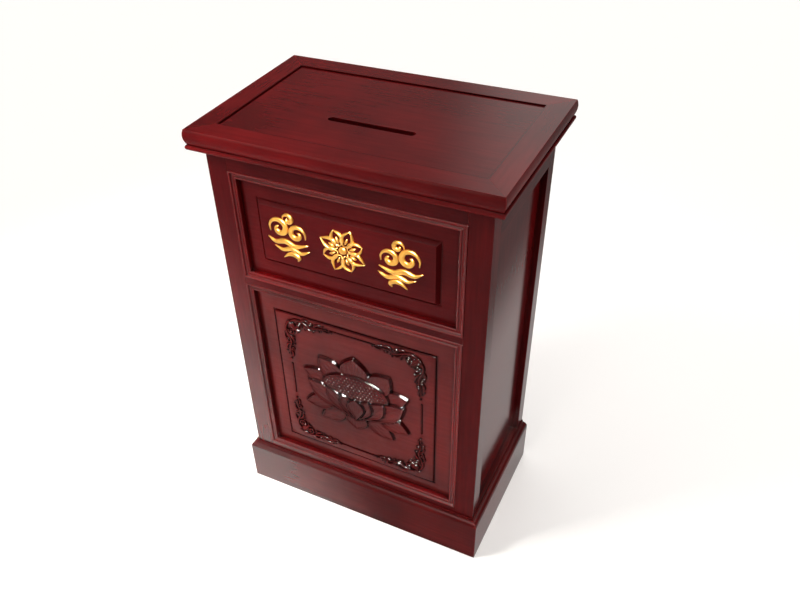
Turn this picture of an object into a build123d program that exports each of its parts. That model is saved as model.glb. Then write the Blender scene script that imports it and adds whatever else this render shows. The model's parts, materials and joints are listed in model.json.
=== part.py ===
"""Donation box of lacquered hardwood.

A framed lid with a slot stands over a post-and-rail body. The front holds a frieze panel with gilt
ornaments above a carved lotus panel. The back holds a framed door on two butt hinges with a cam lock.
Units are millimetres. The origin is on the floor below the middle of the lid, +Z is up, the front is -Y.
"""
import os
from math import atan, cos, degrees, radians, sin

from build123d import *

os.makedirs("parts", exist_ok=True)

# ---------------------------------------------------------------- driving dimensions
TOTAL_HEIGHT = 800
LID_WIDTH = 520
LID_DEPTH = 332
LID_RAIL_HEIGHT = 24
LID_RAIL_WIDTH = 40
LID_BEAD_HEIGHT = 10
LID_BEAD_WIDTH = 42
LID_PANEL_SINK = 2.5
LID_PANEL_THICK = 12.5

BODY_WIDTH = 478
BODY_FRONT = -144
BODY_BACK = 141
POST_WIDTH = 37
POST_DEPTH = 30

RAIL_THICK = 22
SIDE_RAIL_THICK = 24
FRIEZE_BOTTOM = 530
FRIEZE_TOP = 733
LOTUS_BOTTOM = 115
LOTUS_TOP = 517
RAIL_FOOT = 40

PANEL_RECESS = 10
PANEL_THICK = 11
TONGUE_THICK = 8
TONGUE_LENGTH = 4.5
GROOVE_DEPTH = 5
TENON_LENGTH = 18
TENON_THICK = 7
MOULDING_WIDTH = 13
MITRE_JOINT = 0.05

FRIEZE_FIELD = (316, 113)
FRIEZE_FIELD_RISE = 7
FRIEZE_FIELD_BEVEL = 5
LOTUS_FIELD = (310, 312)
LOTUS_FIELD_RISE = 3
LOTUS_FIELD_BEVEL = 3
FIELD_GROOVE = (3, 1.5)

SIDE_PANEL_RECESS = 11
SIDE_PANEL_THICK = 9
SIDE_PANEL_TOP = 706
PLINTH_HEIGHT = 103
PLINTH_THICK = 12

SLOT_LENGTH = 147
SLOT_WIDTH = 13
SLOT_Y = -39

BOTTOM_BOARD_THICK = 12
CLEAT = 15
CLEAT_SCREW = (4, 2, 30)
DOWEL_RADIUS = 3
DOWEL_LOW = 748
DOWEL_HIGH = 788
FIT = 0.05

DOOR_GAP = 1.5
DOOR_TOP_OPENING = 728.5
DOOR_STILE_WIDTH = 45
DOOR_BOTTOM_RAIL = 60
DOOR_PANEL_THICK = 9
DOOR_STOP = 8

HINGE_HEIGHT = 70
HINGE_LEAF_THICK = 1.5
HINGE_LEAF_GAP = 0.2
HINGE_KNUCKLE_RADIUS = 3.5
HINGE_PIN_RADIUS = 1.75
HINGE_KNUCKLES = 5
HINGE_SCREW = (3, 1.5, 16)
HINGE_CENTRES = {"lower": 215, "upper": 615}

LOCK_X = 178
LOCK_Z = 415
LOCK_HOUSING_RADIUS = 9
LOCK_PLUG_RADIUS = 6
CAM_THICK = 2.5
CAM_REACH = 36

GILT_THICK = 3.5
GILT_CENTRES_X = (-103, -4, 95)
GILT_Z = 634

# ---------------------------------------------------------------- derived dimensions
BODY_HEIGHT = TOTAL_HEIGHT - LID_RAIL_HEIGHT - LID_BEAD_HEIGHT
BODY_X = BODY_WIDTH / 2
OPENING_X = BODY_X - POST_WIDTH
SIDE_FRONT = BODY_FRONT + POST_DEPTH
SIDE_BACK = BODY_BACK - POST_DEPTH
SIDE_INNER = BODY_X - SIDE_RAIL_THICK
RAIL_BACK = BODY_FRONT + RAIL_THICK
PANEL_FACE = BODY_FRONT + PANEL_RECESS
TONGUE = (PANEL_FACE + 1, PANEL_FACE + 1 + TONGUE_THICK)
SIDE_PANEL = (BODY_X - SIDE_PANEL_RECESS - SIDE_PANEL_THICK, BODY_X - SIDE_PANEL_RECESS)
DOOR_INNER = BODY_BACK - RAIL_THICK
DOOR_BOTTOM = PLINTH_HEIGHT
DOOR_TOP = DOOR_TOP_OPENING - DOOR_GAP
DOOR_X = OPENING_X - DOOR_GAP
DOOR_PANEL = (DOOR_INNER + 7, DOOR_INNER + 7 + DOOR_PANEL_THICK)
BOARD_LOW = PLINTH_HEIGHT - BOTTOM_BOARD_THICK
HINGE_X = -(OPENING_X + DOOR_X) / 2
HINGE_Y = BODY_BACK + HINGE_KNUCKLE_RADIUS + 0.5

LID_OPENING = (LID_WIDTH - 2 * LID_RAIL_WIDTH, LID_DEPTH - 2 * LID_RAIL_WIDTH)
FRIEZE_SIZE = (2 * OPENING_X, FRIEZE_TOP - FRIEZE_BOTTOM)
LOTUS_SIZE = (2 * OPENING_X, LOTUS_TOP - LOTUS_BOTTOM)
FRIEZE_MIDDLE = (FRIEZE_TOP + FRIEZE_BOTTOM) / 2
LOTUS_MIDDLE = (LOTUS_TOP + LOTUS_BOTTOM) / 2
LOTUS_FIELD_Z = 311

UP = (0, 0, 1)
BACKWARD = (0, 1, 0)
FORWARD = (0, -1, 0)


# ---------------------------------------------------------------- helpers
def save(piece, name):
    """Label a finished piece and write it to its own file."""
    piece.part.label = name
    export_step(piece.part, f"parts/{name}.step")


def box(x_range, y_range, z_range, mode=Mode.ADD):
    """Box between two ends on each axis, given in either order, in the part being built."""
    ranges = [sorted(ends) for ends in (x_range, y_range, z_range)]
    with Locations(tuple((low + high) / 2 for low, high in ranges)):
        Box(*(high - low for low, high in ranges), mode=mode)


def rod(start, direction, radius, length, mode=Mode.ADD):
    """Cylinder from a start point along a direction, in the part being built."""
    with Locations(Plane(origin=start, z_dir=direction)):
        Cylinder(radius, length, align=(Align.CENTER, Align.CENTER, Align.MIN), mode=mode)


def screw(start, direction, head_radius, shank_radius, length, grow=0, mode=Mode.ADD):
    """Countersunk screw with its head's face at the start; grow makes its hole."""
    head_depth = head_radius - shank_radius
    with Locations(Plane(origin=start, z_dir=direction)):
        Cone(
            head_radius + grow,
            shank_radius + grow,
            head_depth,
            align=(Align.CENTER, Align.CENTER, Align.MIN),
            mode=mode,
        )
    rod(start, direction, shank_radius + grow, length + grow, mode)
    if mode == Mode.ADD:
        with Locations(Plane(origin=start, z_dir=direction)):
            Box(1.6 * head_radius, 0.5, 0.8, mode=Mode.SUBTRACT)
            Box(0.5, 1.6 * head_radius, 0.8, mode=Mode.SUBTRACT)


def front_plane(y, z=0, x=0):
    """Plane seen from the front: its X is to the right, its Y is up, and it faces forward."""
    return Plane(origin=(x, y, z), x_dir=(1, 0, 0), z_dir=FORWARD)


def side_planes(centre, width, height):
    """Planes on the four edges of a rectangle, each with its Y axis pointing inward, and its edge length."""
    planes = []
    for along, up, length, half in (
        (centre.x_dir, centre.y_dir, width, height / 2),
        (centre.y_dir, -centre.x_dir, height, width / 2),
        (-centre.x_dir, -centre.y_dir, width, height / 2),
        (-centre.y_dir, centre.x_dir, height, width / 2),
    ):
        planes.append((Plane(origin=centre.origin - up * half, x_dir=along, z_dir=centre.z_dir), length))
    return planes


def mitred_strip(edge, length, width, outline, square_end=0):
    """Strip of one section along an edge plane, cut at 45 degrees at its ends.

    The outline's X runs inward from the edge and its Y runs along the plane's normal.
    square_end of 1 or -1 leaves that end square.
    """
    section = Plane(origin=edge.origin, x_dir=edge.y_dir, z_dir=edge.x_dir)
    half = length / 2 - MITRE_JOINT
    right_inset = 0 if square_end == 1 else width
    left_inset = 0 if square_end == -1 else width
    with BuildPart() as strip:
        with BuildSketch(section):
            add(outline)
        extrude(amount=half, both=True)
        with BuildSketch(edge.offset(-TOTAL_HEIGHT)):
            with BuildLine():
                Polyline(
                    (-half, 0),
                    (half, 0),
                    (half - right_inset, width),
                    (left_inset - half, width),
                    close=True,
                )
            make_face()
        extrude(amount=2 * TOTAL_HEIGHT, mode=Mode.INTERSECT)
    return strip


def cross_tenon(x_side, y_low, z_low, z_high, shoulder=OPENING_X, length=TENON_LENGTH):
    """Ranges of a tenon that runs along X from a rail's shoulder into an upright."""
    return (x_side * shoulder, x_side * (shoulder + length)), (y_low, y_low + TENON_THICK), (z_low, z_high)


def side_tenon(x_side, y_side, z_low, z_high):
    """Ranges of a tenon that runs along Y from a side rail into a post."""
    shoulder = SIDE_BACK if y_side > 0 else SIDE_FRONT
    middle = x_side * (BODY_X - SIDE_RAIL_THICK / 2)
    x_range = (middle - TENON_THICK / 2, middle + TENON_THICK / 2)
    return x_range, (shoulder, shoulder + y_side * TENON_LENGTH), (z_low, z_high)


FRONT_TENON_Y = BODY_FRONT + 3
BACK_TENON_Y = DOOR_INNER + 7
FRONT_TENONS = {
    "front_top_rail": (FRIEZE_TOP + 8, BODY_HEIGHT - 7),
    "front_mid_rail": (LOTUS_TOP + 2, FRIEZE_BOTTOM - 2),
    "front_bottom_rail": (RAIL_FOOT + 10, LOTUS_BOTTOM - 12),
}
BACK_TENONS = {
    "back_top_rail": (DOOR_TOP_OPENING + 8, BODY_HEIGHT - 7),
    "back_bottom_rail": (20, DOOR_BOTTOM - 15),
}
SIDE_TENONS = {
    "top_rail": (SIDE_PANEL_TOP + 10, BODY_HEIGHT - 10),
    "bottom_rail": (RAIL_FOOT + 10, PLINTH_HEIGHT - 12),
}
FRONT_DOWELS = [(x, BODY_FRONT + 9) for x in (-120, 120)]
BACK_DOWELS = [(x, BODY_BACK - 6) for x in (-120, 120)]
SIDE_DOWELS = {side: [(side * (BODY_X - 10), y) for y in (-60, 60)] for side in (-1, 1)}
ALL_DOWELS = FRONT_DOWELS + BACK_DOWELS + SIDE_DOWELS[-1] + SIDE_DOWELS[1]
HINGE_SCREW_Y = BODY_BACK - 11
HINGE_SCREW_STEPS = (-25, 0, 25)
HINGE_LEAF_BACK = BODY_BACK - 20


def cut_dowel_holes(places):
    """Blind dowel holes, drilled upward, in the part being built."""
    for x, y in places:
        rod((x, y, DOWEL_LOW - 0.5), UP, DOWEL_RADIUS + FIT, DOWEL_HIGH - DOWEL_LOW + 1, Mode.SUBTRACT)


def cut_hinge_seat(side):
    """Shallow seats and screw holes for the hinge leaves; side is -1 in the post and 1 in the door."""
    face = HINGE_X + side * HINGE_LEAF_GAP / 2
    for middle in HINGE_CENTRES.values():
        z_range = (middle - HINGE_HEIGHT / 2, middle + HINGE_HEIGHT / 2)
        box((HINGE_X, face + side * HINGE_LEAF_THICK), (HINGE_LEAF_BACK, HINGE_Y), z_range, Mode.SUBTRACT)
        for step in HINGE_SCREW_STEPS:
            start = (face, HINGE_SCREW_Y, middle + step)
            screw(start, (side, 0, 0), *HINGE_SCREW, FIT, Mode.SUBTRACT)


# ---------------------------------------------------------------- corner posts
def make_post(name, x_side, y_side):
    """Corner post with its panel grooves and mortises."""
    outer = BODY_BACK if y_side > 0 else BODY_FRONT
    inner = outer - y_side * POST_DEPTH
    with BuildPart() as post:
        box((x_side * OPENING_X, x_side * BODY_X), (outer, inner), (0, BODY_HEIGHT))
        chamfer(post.edges().filter_by(Axis.Z).group_by(Axis.Y)[-1 if y_side > 0 else 0], 0.8)
        groove_x = [x_side * end for end in SIDE_PANEL]
        groove_z = (PLINTH_HEIGHT - GROOVE_DEPTH, SIDE_PANEL_TOP + GROOVE_DEPTH)
        box(groove_x, (inner, inner + y_side * GROOVE_DEPTH), groove_z, Mode.SUBTRACT)
        for z_low, z_high in SIDE_TENONS.values():
            box(*side_tenon(x_side, y_side, z_low, z_high), Mode.SUBTRACT)
        tenons = BACK_TENONS if y_side > 0 else FRONT_TENONS
        tenon_y = BACK_TENON_Y if y_side > 0 else FRONT_TENON_Y
        for z_low, z_high in tenons.values():
            box(*cross_tenon(x_side, tenon_y, z_low, z_high), Mode.SUBTRACT)
        if y_side < 0:
            panel_x = (x_side * OPENING_X, x_side * (OPENING_X + GROOVE_DEPTH))
            panel_z = (LOTUS_BOTTOM - GROOVE_DEPTH, FRIEZE_TOP + GROOVE_DEPTH)
            box(panel_x, TONGUE, panel_z, Mode.SUBTRACT)
        if name == "back_left_post":
            cut_hinge_seat(-1)
    save(post, name)


for post_name, post_x, post_y in (
    ("front_left_post", -1, -1),
    ("front_right_post", 1, -1),
    ("back_left_post", -1, 1),
    ("back_right_post", 1, 1),
):
    make_post(post_name, post_x, post_y)


# ---------------------------------------------------------------- front and back rails
def make_cross_rail(name, y_range, z_range, tenon_y, tenon_z, groove_z=(), dowels=()):
    """Rail between two posts, with a tenon at each end and a groove for each panel it holds."""
    with BuildPart() as rail:
        box((-OPENING_X, OPENING_X), y_range, z_range)
        for x_side in (-1, 1):
            box(*cross_tenon(x_side, tenon_y, *tenon_z))
        for edge, depth in groove_z:
            box((-OPENING_X, OPENING_X), TONGUE, (edge, edge + depth), Mode.SUBTRACT)
        cut_dowel_holes(dowels)
    save(rail, name)


make_cross_rail(
    "front_top_rail",
    (BODY_FRONT, RAIL_BACK),
    (FRIEZE_TOP, BODY_HEIGHT),
    FRONT_TENON_Y,
    FRONT_TENONS["front_top_rail"],
    [(FRIEZE_TOP, GROOVE_DEPTH)],
    FRONT_DOWELS,
)
make_cross_rail(
    "front_mid_rail",
    (BODY_FRONT, RAIL_BACK),
    (LOTUS_TOP, FRIEZE_BOTTOM),
    FRONT_TENON_Y,
    FRONT_TENONS["front_mid_rail"],
    [(LOTUS_TOP, GROOVE_DEPTH), (FRIEZE_BOTTOM, -GROOVE_DEPTH)],
)
make_cross_rail(
    "front_bottom_rail",
    (BODY_FRONT, RAIL_BACK),
    (RAIL_FOOT, LOTUS_BOTTOM),
    FRONT_TENON_Y,
    FRONT_TENONS["front_bottom_rail"],
    [(LOTUS_BOTTOM, -GROOVE_DEPTH)],
)
make_cross_rail(
    "back_top_rail",
    (SIDE_BACK, BODY_BACK),
    (DOOR_TOP_OPENING, BODY_HEIGHT),
    BACK_TENON_Y,
    BACK_TENONS["back_top_rail"],
    dowels=BACK_DOWELS,
)
make_cross_rail(
    "back_bottom_rail",
    (DOOR_INNER, BODY_BACK),
    (0, DOOR_BOTTOM - DOOR_GAP),
    BACK_TENON_Y,
    BACK_TENONS["back_bottom_rail"],
)


# ---------------------------------------------------------------- side rails and side panels
def make_side_rails(label, x_side):
    """Top and bottom rails of one side, with tenons and the side panel's grooves."""
    x_range = (x_side * SIDE_INNER, x_side * BODY_X)
    groove_x = [x_side * end for end in SIDE_PANEL]
    with BuildPart() as top_rail:
        box(x_range, (SIDE_FRONT, SIDE_BACK), (SIDE_PANEL_TOP, BODY_HEIGHT))
        for y_side in (-1, 1):
            box(*side_tenon(x_side, y_side, *SIDE_TENONS["top_rail"]))
        groove_z = (SIDE_PANEL_TOP, SIDE_PANEL_TOP + GROOVE_DEPTH)
        box(groove_x, (SIDE_FRONT, SIDE_BACK), groove_z, Mode.SUBTRACT)
        cut_dowel_holes(SIDE_DOWELS[x_side])
    save(top_rail, f"{label}_top_rail")
    with BuildPart() as bottom_rail:
        box(x_range, (SIDE_FRONT, SIDE_BACK), (RAIL_FOOT, PLINTH_HEIGHT))
        outer_top = bottom_rail.edges().filter_by(Axis.Y).group_by(Axis.Z)[-1].sort_by(Axis.X)
        fillet(outer_top[-1 if x_side > 0 else 0], 2.5)
        for y_side in (-1, 1):
            box(*side_tenon(x_side, y_side, *SIDE_TENONS["bottom_rail"]))
        groove_z = (PLINTH_HEIGHT - GROOVE_DEPTH, PLINTH_HEIGHT)
        box(groove_x, (SIDE_FRONT, SIDE_BACK), groove_z, Mode.SUBTRACT)
        quirk_x = (x_side * (BODY_X - 6), x_side * (BODY_X - 4.6))
        box(quirk_x, (SIDE_FRONT, SIDE_BACK), (PLINTH_HEIGHT - 1.4, PLINTH_HEIGHT), Mode.SUBTRACT)
        for y in (-60, 60):
            cut_cleat_screw((x_side * (SIDE_INNER - CLEAT), y), (x_side, 0, 0))
    save(bottom_rail, f"{label}_bottom_rail")


CLEAT_MIDDLE_Z = BOARD_LOW - CLEAT / 2


def cut_cleat_screw(place, direction):
    """Hole of one cleat screw, from the cleat's inner face into the rail."""
    screw((*place, CLEAT_MIDDLE_Z), direction, *CLEAT_SCREW, FIT, Mode.SUBTRACT)


def make_side_panel(label, x_side):
    """Plain recessed panel, held by its edges in the grooves."""
    with BuildPart() as panel:
        box(
            [x_side * end for end in SIDE_PANEL],
            (SIDE_FRONT - TONGUE_LENGTH, SIDE_BACK + TONGUE_LENGTH),
            (PLINTH_HEIGHT - TONGUE_LENGTH, SIDE_PANEL_TOP + TONGUE_LENGTH),
        )
    save(panel, f"{label}_side_panel")


for side_label, side_sign in (("left", -1), ("right", 1)):
    make_side_rails(side_label, side_sign)
    make_side_panel(side_label, side_sign)


# ---------------------------------------------------------------- frieze panel and lotus panel
def raised_panel(size, middle_z, field, field_z, rise, bevel):
    """Framed panel: slab, tongue all round, groove round the field, and the raised field."""
    with BuildPart() as panel:
        width, height = size
        low = middle_z - height / 2
        box((-width / 2, width / 2), (PANEL_FACE, PANEL_FACE + PANEL_THICK), (low, low + height))
        with BuildSketch(front_plane(TONGUE[1], middle_z)):
            Rectangle(width + 2 * TONGUE_LENGTH, height + 2 * TONGUE_LENGTH)
        extrude(amount=TONGUE_THICK)
        groove_width, groove_depth = FIELD_GROOVE
        with BuildSketch(front_plane(PANEL_FACE, field_z)):
            Rectangle(field[0] + 2 * groove_width, field[1] + 2 * groove_width)
            Rectangle(*field, mode=Mode.SUBTRACT)
        extrude(amount=-groove_depth, mode=Mode.SUBTRACT)
        with BuildSketch(front_plane(PANEL_FACE, field_z)):
            Rectangle(*field)
        extrude(amount=rise, taper=degrees(atan(bevel / rise)))
    return panel


frieze_panel = raised_panel(
    FRIEZE_SIZE, FRIEZE_MIDDLE, FRIEZE_FIELD, FRIEZE_MIDDLE, FRIEZE_FIELD_RISE, FRIEZE_FIELD_BEVEL
)
save(frieze_panel, "frieze_panel")


def petal(length, width):
    """Pointed petal from the origin along +Y."""
    with BuildSketch() as outline:
        with BuildLine():
            ThreePointArc((0, 0), (width / 2, 0.5 * length), (0, length))
            ThreePointArc((0, length), (-width / 2, 0.5 * length), (0, 0))
        make_face()
    return outline.sketch


def scroll_corner(reach, bar):
    """Corner carving: two C-scrolls that meet at the corner and end in round curls."""
    with BuildSketch() as corner:
        for turn in (0, 90):
            with Locations(Location((0, 0, 0), (0, 0, turn))):
                mirror_y = 1 if turn == 0 else -1
                with Locations((0.32 * reach, mirror_y * 5)):
                    Circle(11)
                    Circle(11 - bar, mode=Mode.SUBTRACT)
                with Locations((0.72 * reach, mirror_y * 3)):
                    Circle(8)
                    Circle(8 - bar, mode=Mode.SUBTRACT)
                with Locations((reach, 0)):
                    Circle(4.5)
        Circle(7)
    return corner.sketch


BACK_PETALS = [(angle, 122 - 0.35 * abs(angle), 52) for angle in (-78, -52, -26, 0, 26, 52, 78)]
FRONT_PETALS = [(angle, 84 - 0.2 * abs(angle), 44) for angle in (-80, -45, 45, 80)]
POD_SEEDS = [(18 * ring, count) for ring, count in ((0.6, 6), (1.5, 11))]
FRAME_X = 128
FRAME_Y = 137

with BuildPart() as lotus_panel:
    lotus_field_plane = front_plane(PANEL_FACE - LOTUS_FIELD_RISE, LOTUS_FIELD_Z)
    add(
        raised_panel(
            LOTUS_SIZE, LOTUS_MIDDLE, LOTUS_FIELD, LOTUS_FIELD_Z, LOTUS_FIELD_RISE, LOTUS_FIELD_BEVEL
        ).part
    )
    for row, (petals, relief) in enumerate(((BACK_PETALS, 3), (FRONT_PETALS, 5))):
        for lean, length, width in petals:
            with BuildSketch(lotus_field_plane):
                with Locations(Location((0, -42 - 6 * row, 0), (0, 0, lean))):
                    add(petal(length, width))
            extrude(amount=relief)
    with BuildSketch(lotus_field_plane):
        with Locations((0, 8)):
            Ellipse(58, 26)
    extrude(amount=4.5)
    for radius, count in POD_SEEDS:
        for index in range(count):
            seed_angle = radians(360 * index / count)
            seed_x = 1.9 * radius * cos(seed_angle)
            seed_z = LOTUS_FIELD_Z + 8 + 0.75 * radius * sin(seed_angle)
            rod((seed_x, PANEL_FACE - LOTUS_FIELD_RISE, seed_z), FORWARD, 3, 5.6)
    with BuildSketch(lotus_field_plane):
        with GridLocations(0, 2 * FRAME_Y, 1, 2):
            Rectangle(2 * FRAME_X - 140, 2)
        with GridLocations(2 * FRAME_X, 0, 2, 1):
            Rectangle(2, 2 * FRAME_Y - 140)
    extrude(amount=1.5)
    for quarter in range(4):
        corner_x = FRAME_X * (1, -1, -1, 1)[quarter]
        corner_y = FRAME_Y * (1, 1, -1, -1)[quarter]
        with BuildSketch(lotus_field_plane):
            with Locations(Location((corner_x, corner_y, 0), (0, 0, 180 + 90 * quarter))):
                add(scroll_corner(68, 3))
        extrude(amount=3)
save(lotus_panel, "lotus_panel")


# ---------------------------------------------------------------- panel mouldings
def panel_moulding_outline():
    """Section of the planted moulding: an outer bead, a shallow cove and an inner bead."""
    with BuildSketch() as outline:
        with BuildLine():
            Polyline((0, 10), (0, 0), (MOULDING_WIDTH, 0), (MOULDING_WIDTH, 7.5))
            ThreePointArc((MOULDING_WIDTH, 7.5), (11.2, 9.6), (9.4, 8.4))
            ThreePointArc((9.4, 8.4), (6.6, 7.2), (3.9, 9.4))
            ThreePointArc((3.9, 9.4), (2.1, 11.4), (0, 10))
        make_face()
    return outline.sketch


PANEL_OPENINGS = {"frieze": (FRIEZE_SIZE, FRIEZE_MIDDLE), "lotus": (LOTUS_SIZE, LOTUS_MIDDLE)}
for panel_label, (panel_size, panel_middle) in PANEL_OPENINGS.items():
    panel_edges = side_planes(front_plane(PANEL_FACE, panel_middle), *panel_size)
    for edge_label, (edge_plane, edge_length) in zip(("bottom", "right", "top", "left"), panel_edges):
        moulding = mitred_strip(edge_plane, edge_length, MOULDING_WIDTH, panel_moulding_outline())
        save(moulding, f"{panel_label}_moulding_{edge_label}")


# ---------------------------------------------------------------- gilt ornaments
def cloud_outline():
    """Cloud scroll: three lobes over a curled tail."""
    with BuildSketch() as outline:
        with Locations((-20, 6), (20, 6)):
            Circle(19)
        with Locations((0, 22)):
            Circle(22)
        with Locations((0, -14)):
            Ellipse(24, 18)
        with Locations((12, -32)):
            Circle(12)
        with Locations((-20, 6), (20, 6)):
            Circle(7, mode=Mode.SUBTRACT)
        with Locations((0, 24)):
            Circle(9, mode=Mode.SUBTRACT)
    return outline.sketch


def blossom_outline():
    """Round blossom: eight petals about a pierced middle."""
    with BuildSketch() as outline:
        with PolarLocations(0, 8):
            with Locations(Location((0, 0, 0), (0, 0, 90))):
                add(petal(44, 26))
        Circle(16)
        Circle(6, mode=Mode.SUBTRACT)
    return outline.sketch


for gilt_name, gilt_x, gilt_outline in (
    ("left_gilt_cloud", GILT_CENTRES_X[0], cloud_outline()),
    ("centre_gilt_blossom", GILT_CENTRES_X[1], blossom_outline()),
    ("right_gilt_cloud", GILT_CENTRES_X[2], cloud_outline().mirror(Plane.YZ)),
):
    with BuildPart() as gilt:
        with BuildSketch(front_plane(PANEL_FACE - FRIEZE_FIELD_RISE, GILT_Z, gilt_x)):
            add(gilt_outline)
        extrude(amount=GILT_THICK)
    save(gilt, gilt_name)


# ---------------------------------------------------------------- plinth
def plinth_outline():
    """Section of the plinth board: plain face, rounded shoulder and a small step at the top."""
    with BuildSketch() as outline:
        with BuildLine():
            Polyline((9, 98.5), (10, 98.5), (10, PLINTH_HEIGHT), (PLINTH_THICK, PLINTH_HEIGHT))
            Polyline((PLINTH_THICK, PLINTH_HEIGHT), (PLINTH_THICK, 0), (0, 0), (0, 88))
            ThreePointArc((0, 88), (2.8, 95.6), (9, 98.5))
        make_face()
    return outline.sketch


PLINTH_FRONT = BODY_FRONT - PLINTH_THICK
PLINTH_X = BODY_X + PLINTH_THICK
PLINTH_DEPTH = BODY_BACK - PLINTH_FRONT
for plinth_name, plinth_edge, plinth_length, plinth_square in (
    ("plinth_front", Plane(origin=(0, PLINTH_FRONT, 0)), 2 * PLINTH_X, 0),
    (
        "plinth_right",
        Plane(origin=(PLINTH_X, (PLINTH_FRONT + BODY_BACK) / 2, 0), x_dir=(0, 1, 0), z_dir=UP),
        PLINTH_DEPTH,
        1,
    ),
    (
        "plinth_left",
        Plane(origin=(-PLINTH_X, (PLINTH_FRONT + BODY_BACK) / 2, 0), x_dir=(0, -1, 0), z_dir=UP),
        PLINTH_DEPTH,
        -1,
    ),
):
    plinth = mitred_strip(plinth_edge, plinth_length, PLINTH_THICK, plinth_outline(), plinth_square)
    save(plinth, plinth_name)


# ---------------------------------------------------------------- bottom board, cleats and their screws
with BuildPart() as bottom_board:
    box((-SIDE_INNER, SIDE_INNER), (RAIL_BACK, DOOR_INNER), (BOARD_LOW, PLINTH_HEIGHT))
    for board_x in (-1, 1):
        for board_y, post_face in ((RAIL_BACK, SIDE_FRONT), (DOOR_INNER, SIDE_BACK)):
            notch_x = (board_x * OPENING_X, board_x * SIDE_INNER)
            box(notch_x, (board_y, post_face), (BOARD_LOW, PLINTH_HEIGHT), Mode.SUBTRACT)
save(bottom_board, "bottom_board")

CLEAT_SCREWS = [((x_side * (SIDE_INNER - CLEAT), y), (x_side, 0, 0)) for x_side in (-1, 1) for y in (-60, 60)]

with BuildPart() as bottom_cleats:
    for cleat_x in (-1, 1):
        cleat_x_range = (cleat_x * (SIDE_INNER - CLEAT), cleat_x * SIDE_INNER)
        box(cleat_x_range, (SIDE_FRONT + 2, SIDE_BACK - 2), (BOARD_LOW - CLEAT, BOARD_LOW))
    for cleat_place, cleat_direction in CLEAT_SCREWS:
        cut_cleat_screw(cleat_place, cleat_direction)
save(bottom_cleats, "bottom_cleats")

with BuildPart() as cleat_screws:
    for cleat_place, cleat_direction in CLEAT_SCREWS:
        screw((*cleat_place, CLEAT_MIDDLE_Z), cleat_direction, *CLEAT_SCREW)
save(cleat_screws, "cleat_screws")


# ---------------------------------------------------------------- lid
def lid_rail_outline():
    """Section of a lid rail: rounded outer edge and a groove for the panel's tongue."""
    top = LID_RAIL_HEIGHT
    groove_low = top - LID_PANEL_SINK - LID_PANEL_THICK
    with BuildSketch() as outline:
        with BuildLine():
            Polyline((3, 0), (LID_RAIL_WIDTH, 0), (LID_RAIL_WIDTH, top), (2.2, top))
            ThreePointArc((2.2, top), (0, 0.5 * top), (3, 0))
        make_face()
        with Locations((LID_RAIL_WIDTH - GROOVE_DEPTH, groove_low)):
            Rectangle(GROOVE_DEPTH, 7, align=Align.MIN, mode=Mode.SUBTRACT)
    return outline.sketch


def lid_bead_outline():
    """Section of the strip under the lid rail: a quirk above a rounded bead."""
    top = LID_BEAD_HEIGHT
    with BuildSketch() as outline:
        with BuildLine():
            Polyline((3.2, 0), (LID_BEAD_WIDTH, 0), (LID_BEAD_WIDTH, top), (4.5, top))
            Polyline((4.5, top), (4.5, top - 1.6), (2.6, top - 1.6))
            ThreePointArc((2.6, top - 1.6), (0.6, 0.42 * top), (3.2, 0))
        make_face()
    return outline.sketch


LID_RAIL_BASE = TOTAL_HEIGHT - LID_RAIL_HEIGHT
LID_EDGE_NAMES = ("front", "right", "back", "left")
LID_EDGE_DOWELS = (FRONT_DOWELS, SIDE_DOWELS[1], BACK_DOWELS, SIDE_DOWELS[-1])
lid_rail_edges = side_planes(Plane.XY.offset(LID_RAIL_BASE), LID_WIDTH, LID_DEPTH)
for lid_label, lid_rail_edge, lid_dowel_places in zip(LID_EDGE_NAMES, lid_rail_edges, LID_EDGE_DOWELS):
    lid_edge, lid_length = lid_rail_edge
    with BuildPart() as lid_rail:
        add(mitred_strip(lid_edge, lid_length, LID_RAIL_WIDTH, lid_rail_outline()).part)
        cut_dowel_holes(lid_dowel_places)
    save(lid_rail, f"lid_{lid_label}_rail")

with BuildPart() as lid_bead_moulding:
    for bead_edge, bead_length in side_planes(Plane.XY.offset(BODY_HEIGHT), LID_WIDTH, LID_DEPTH):
        add(mitred_strip(bead_edge, bead_length, LID_BEAD_WIDTH, lid_bead_outline()).part, clean=False)
    cut_dowel_holes(ALL_DOWELS)
save(lid_bead_moulding, "lid_bead_moulding")

with BuildPart() as lid_panel:
    lid_panel_top = TOTAL_HEIGHT - LID_PANEL_SINK
    with BuildSketch(Plane.XY.offset(lid_panel_top - LID_PANEL_THICK)):
        Rectangle(*LID_OPENING)
    extrude(amount=LID_PANEL_THICK)
    with BuildSketch(Plane.XY.offset(lid_panel_top - LID_PANEL_THICK)):
        Rectangle(*(side + 2 * TONGUE_LENGTH for side in LID_OPENING))
    extrude(amount=7)
    with BuildSketch(Plane.XY.offset(lid_panel_top)):
        with Locations((0, SLOT_Y)):
            SlotOverall(SLOT_LENGTH, SLOT_WIDTH)
    extrude(amount=-LID_PANEL_THICK, mode=Mode.SUBTRACT)
save(lid_panel, "lid_panel")

with BuildPart() as lid_dowels:
    for dowel_x, dowel_y in ALL_DOWELS:
        rod((dowel_x, dowel_y, DOWEL_LOW), UP, DOWEL_RADIUS, DOWEL_HIGH - DOWEL_LOW)
save(lid_dowels, "lid_dowels")

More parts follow.
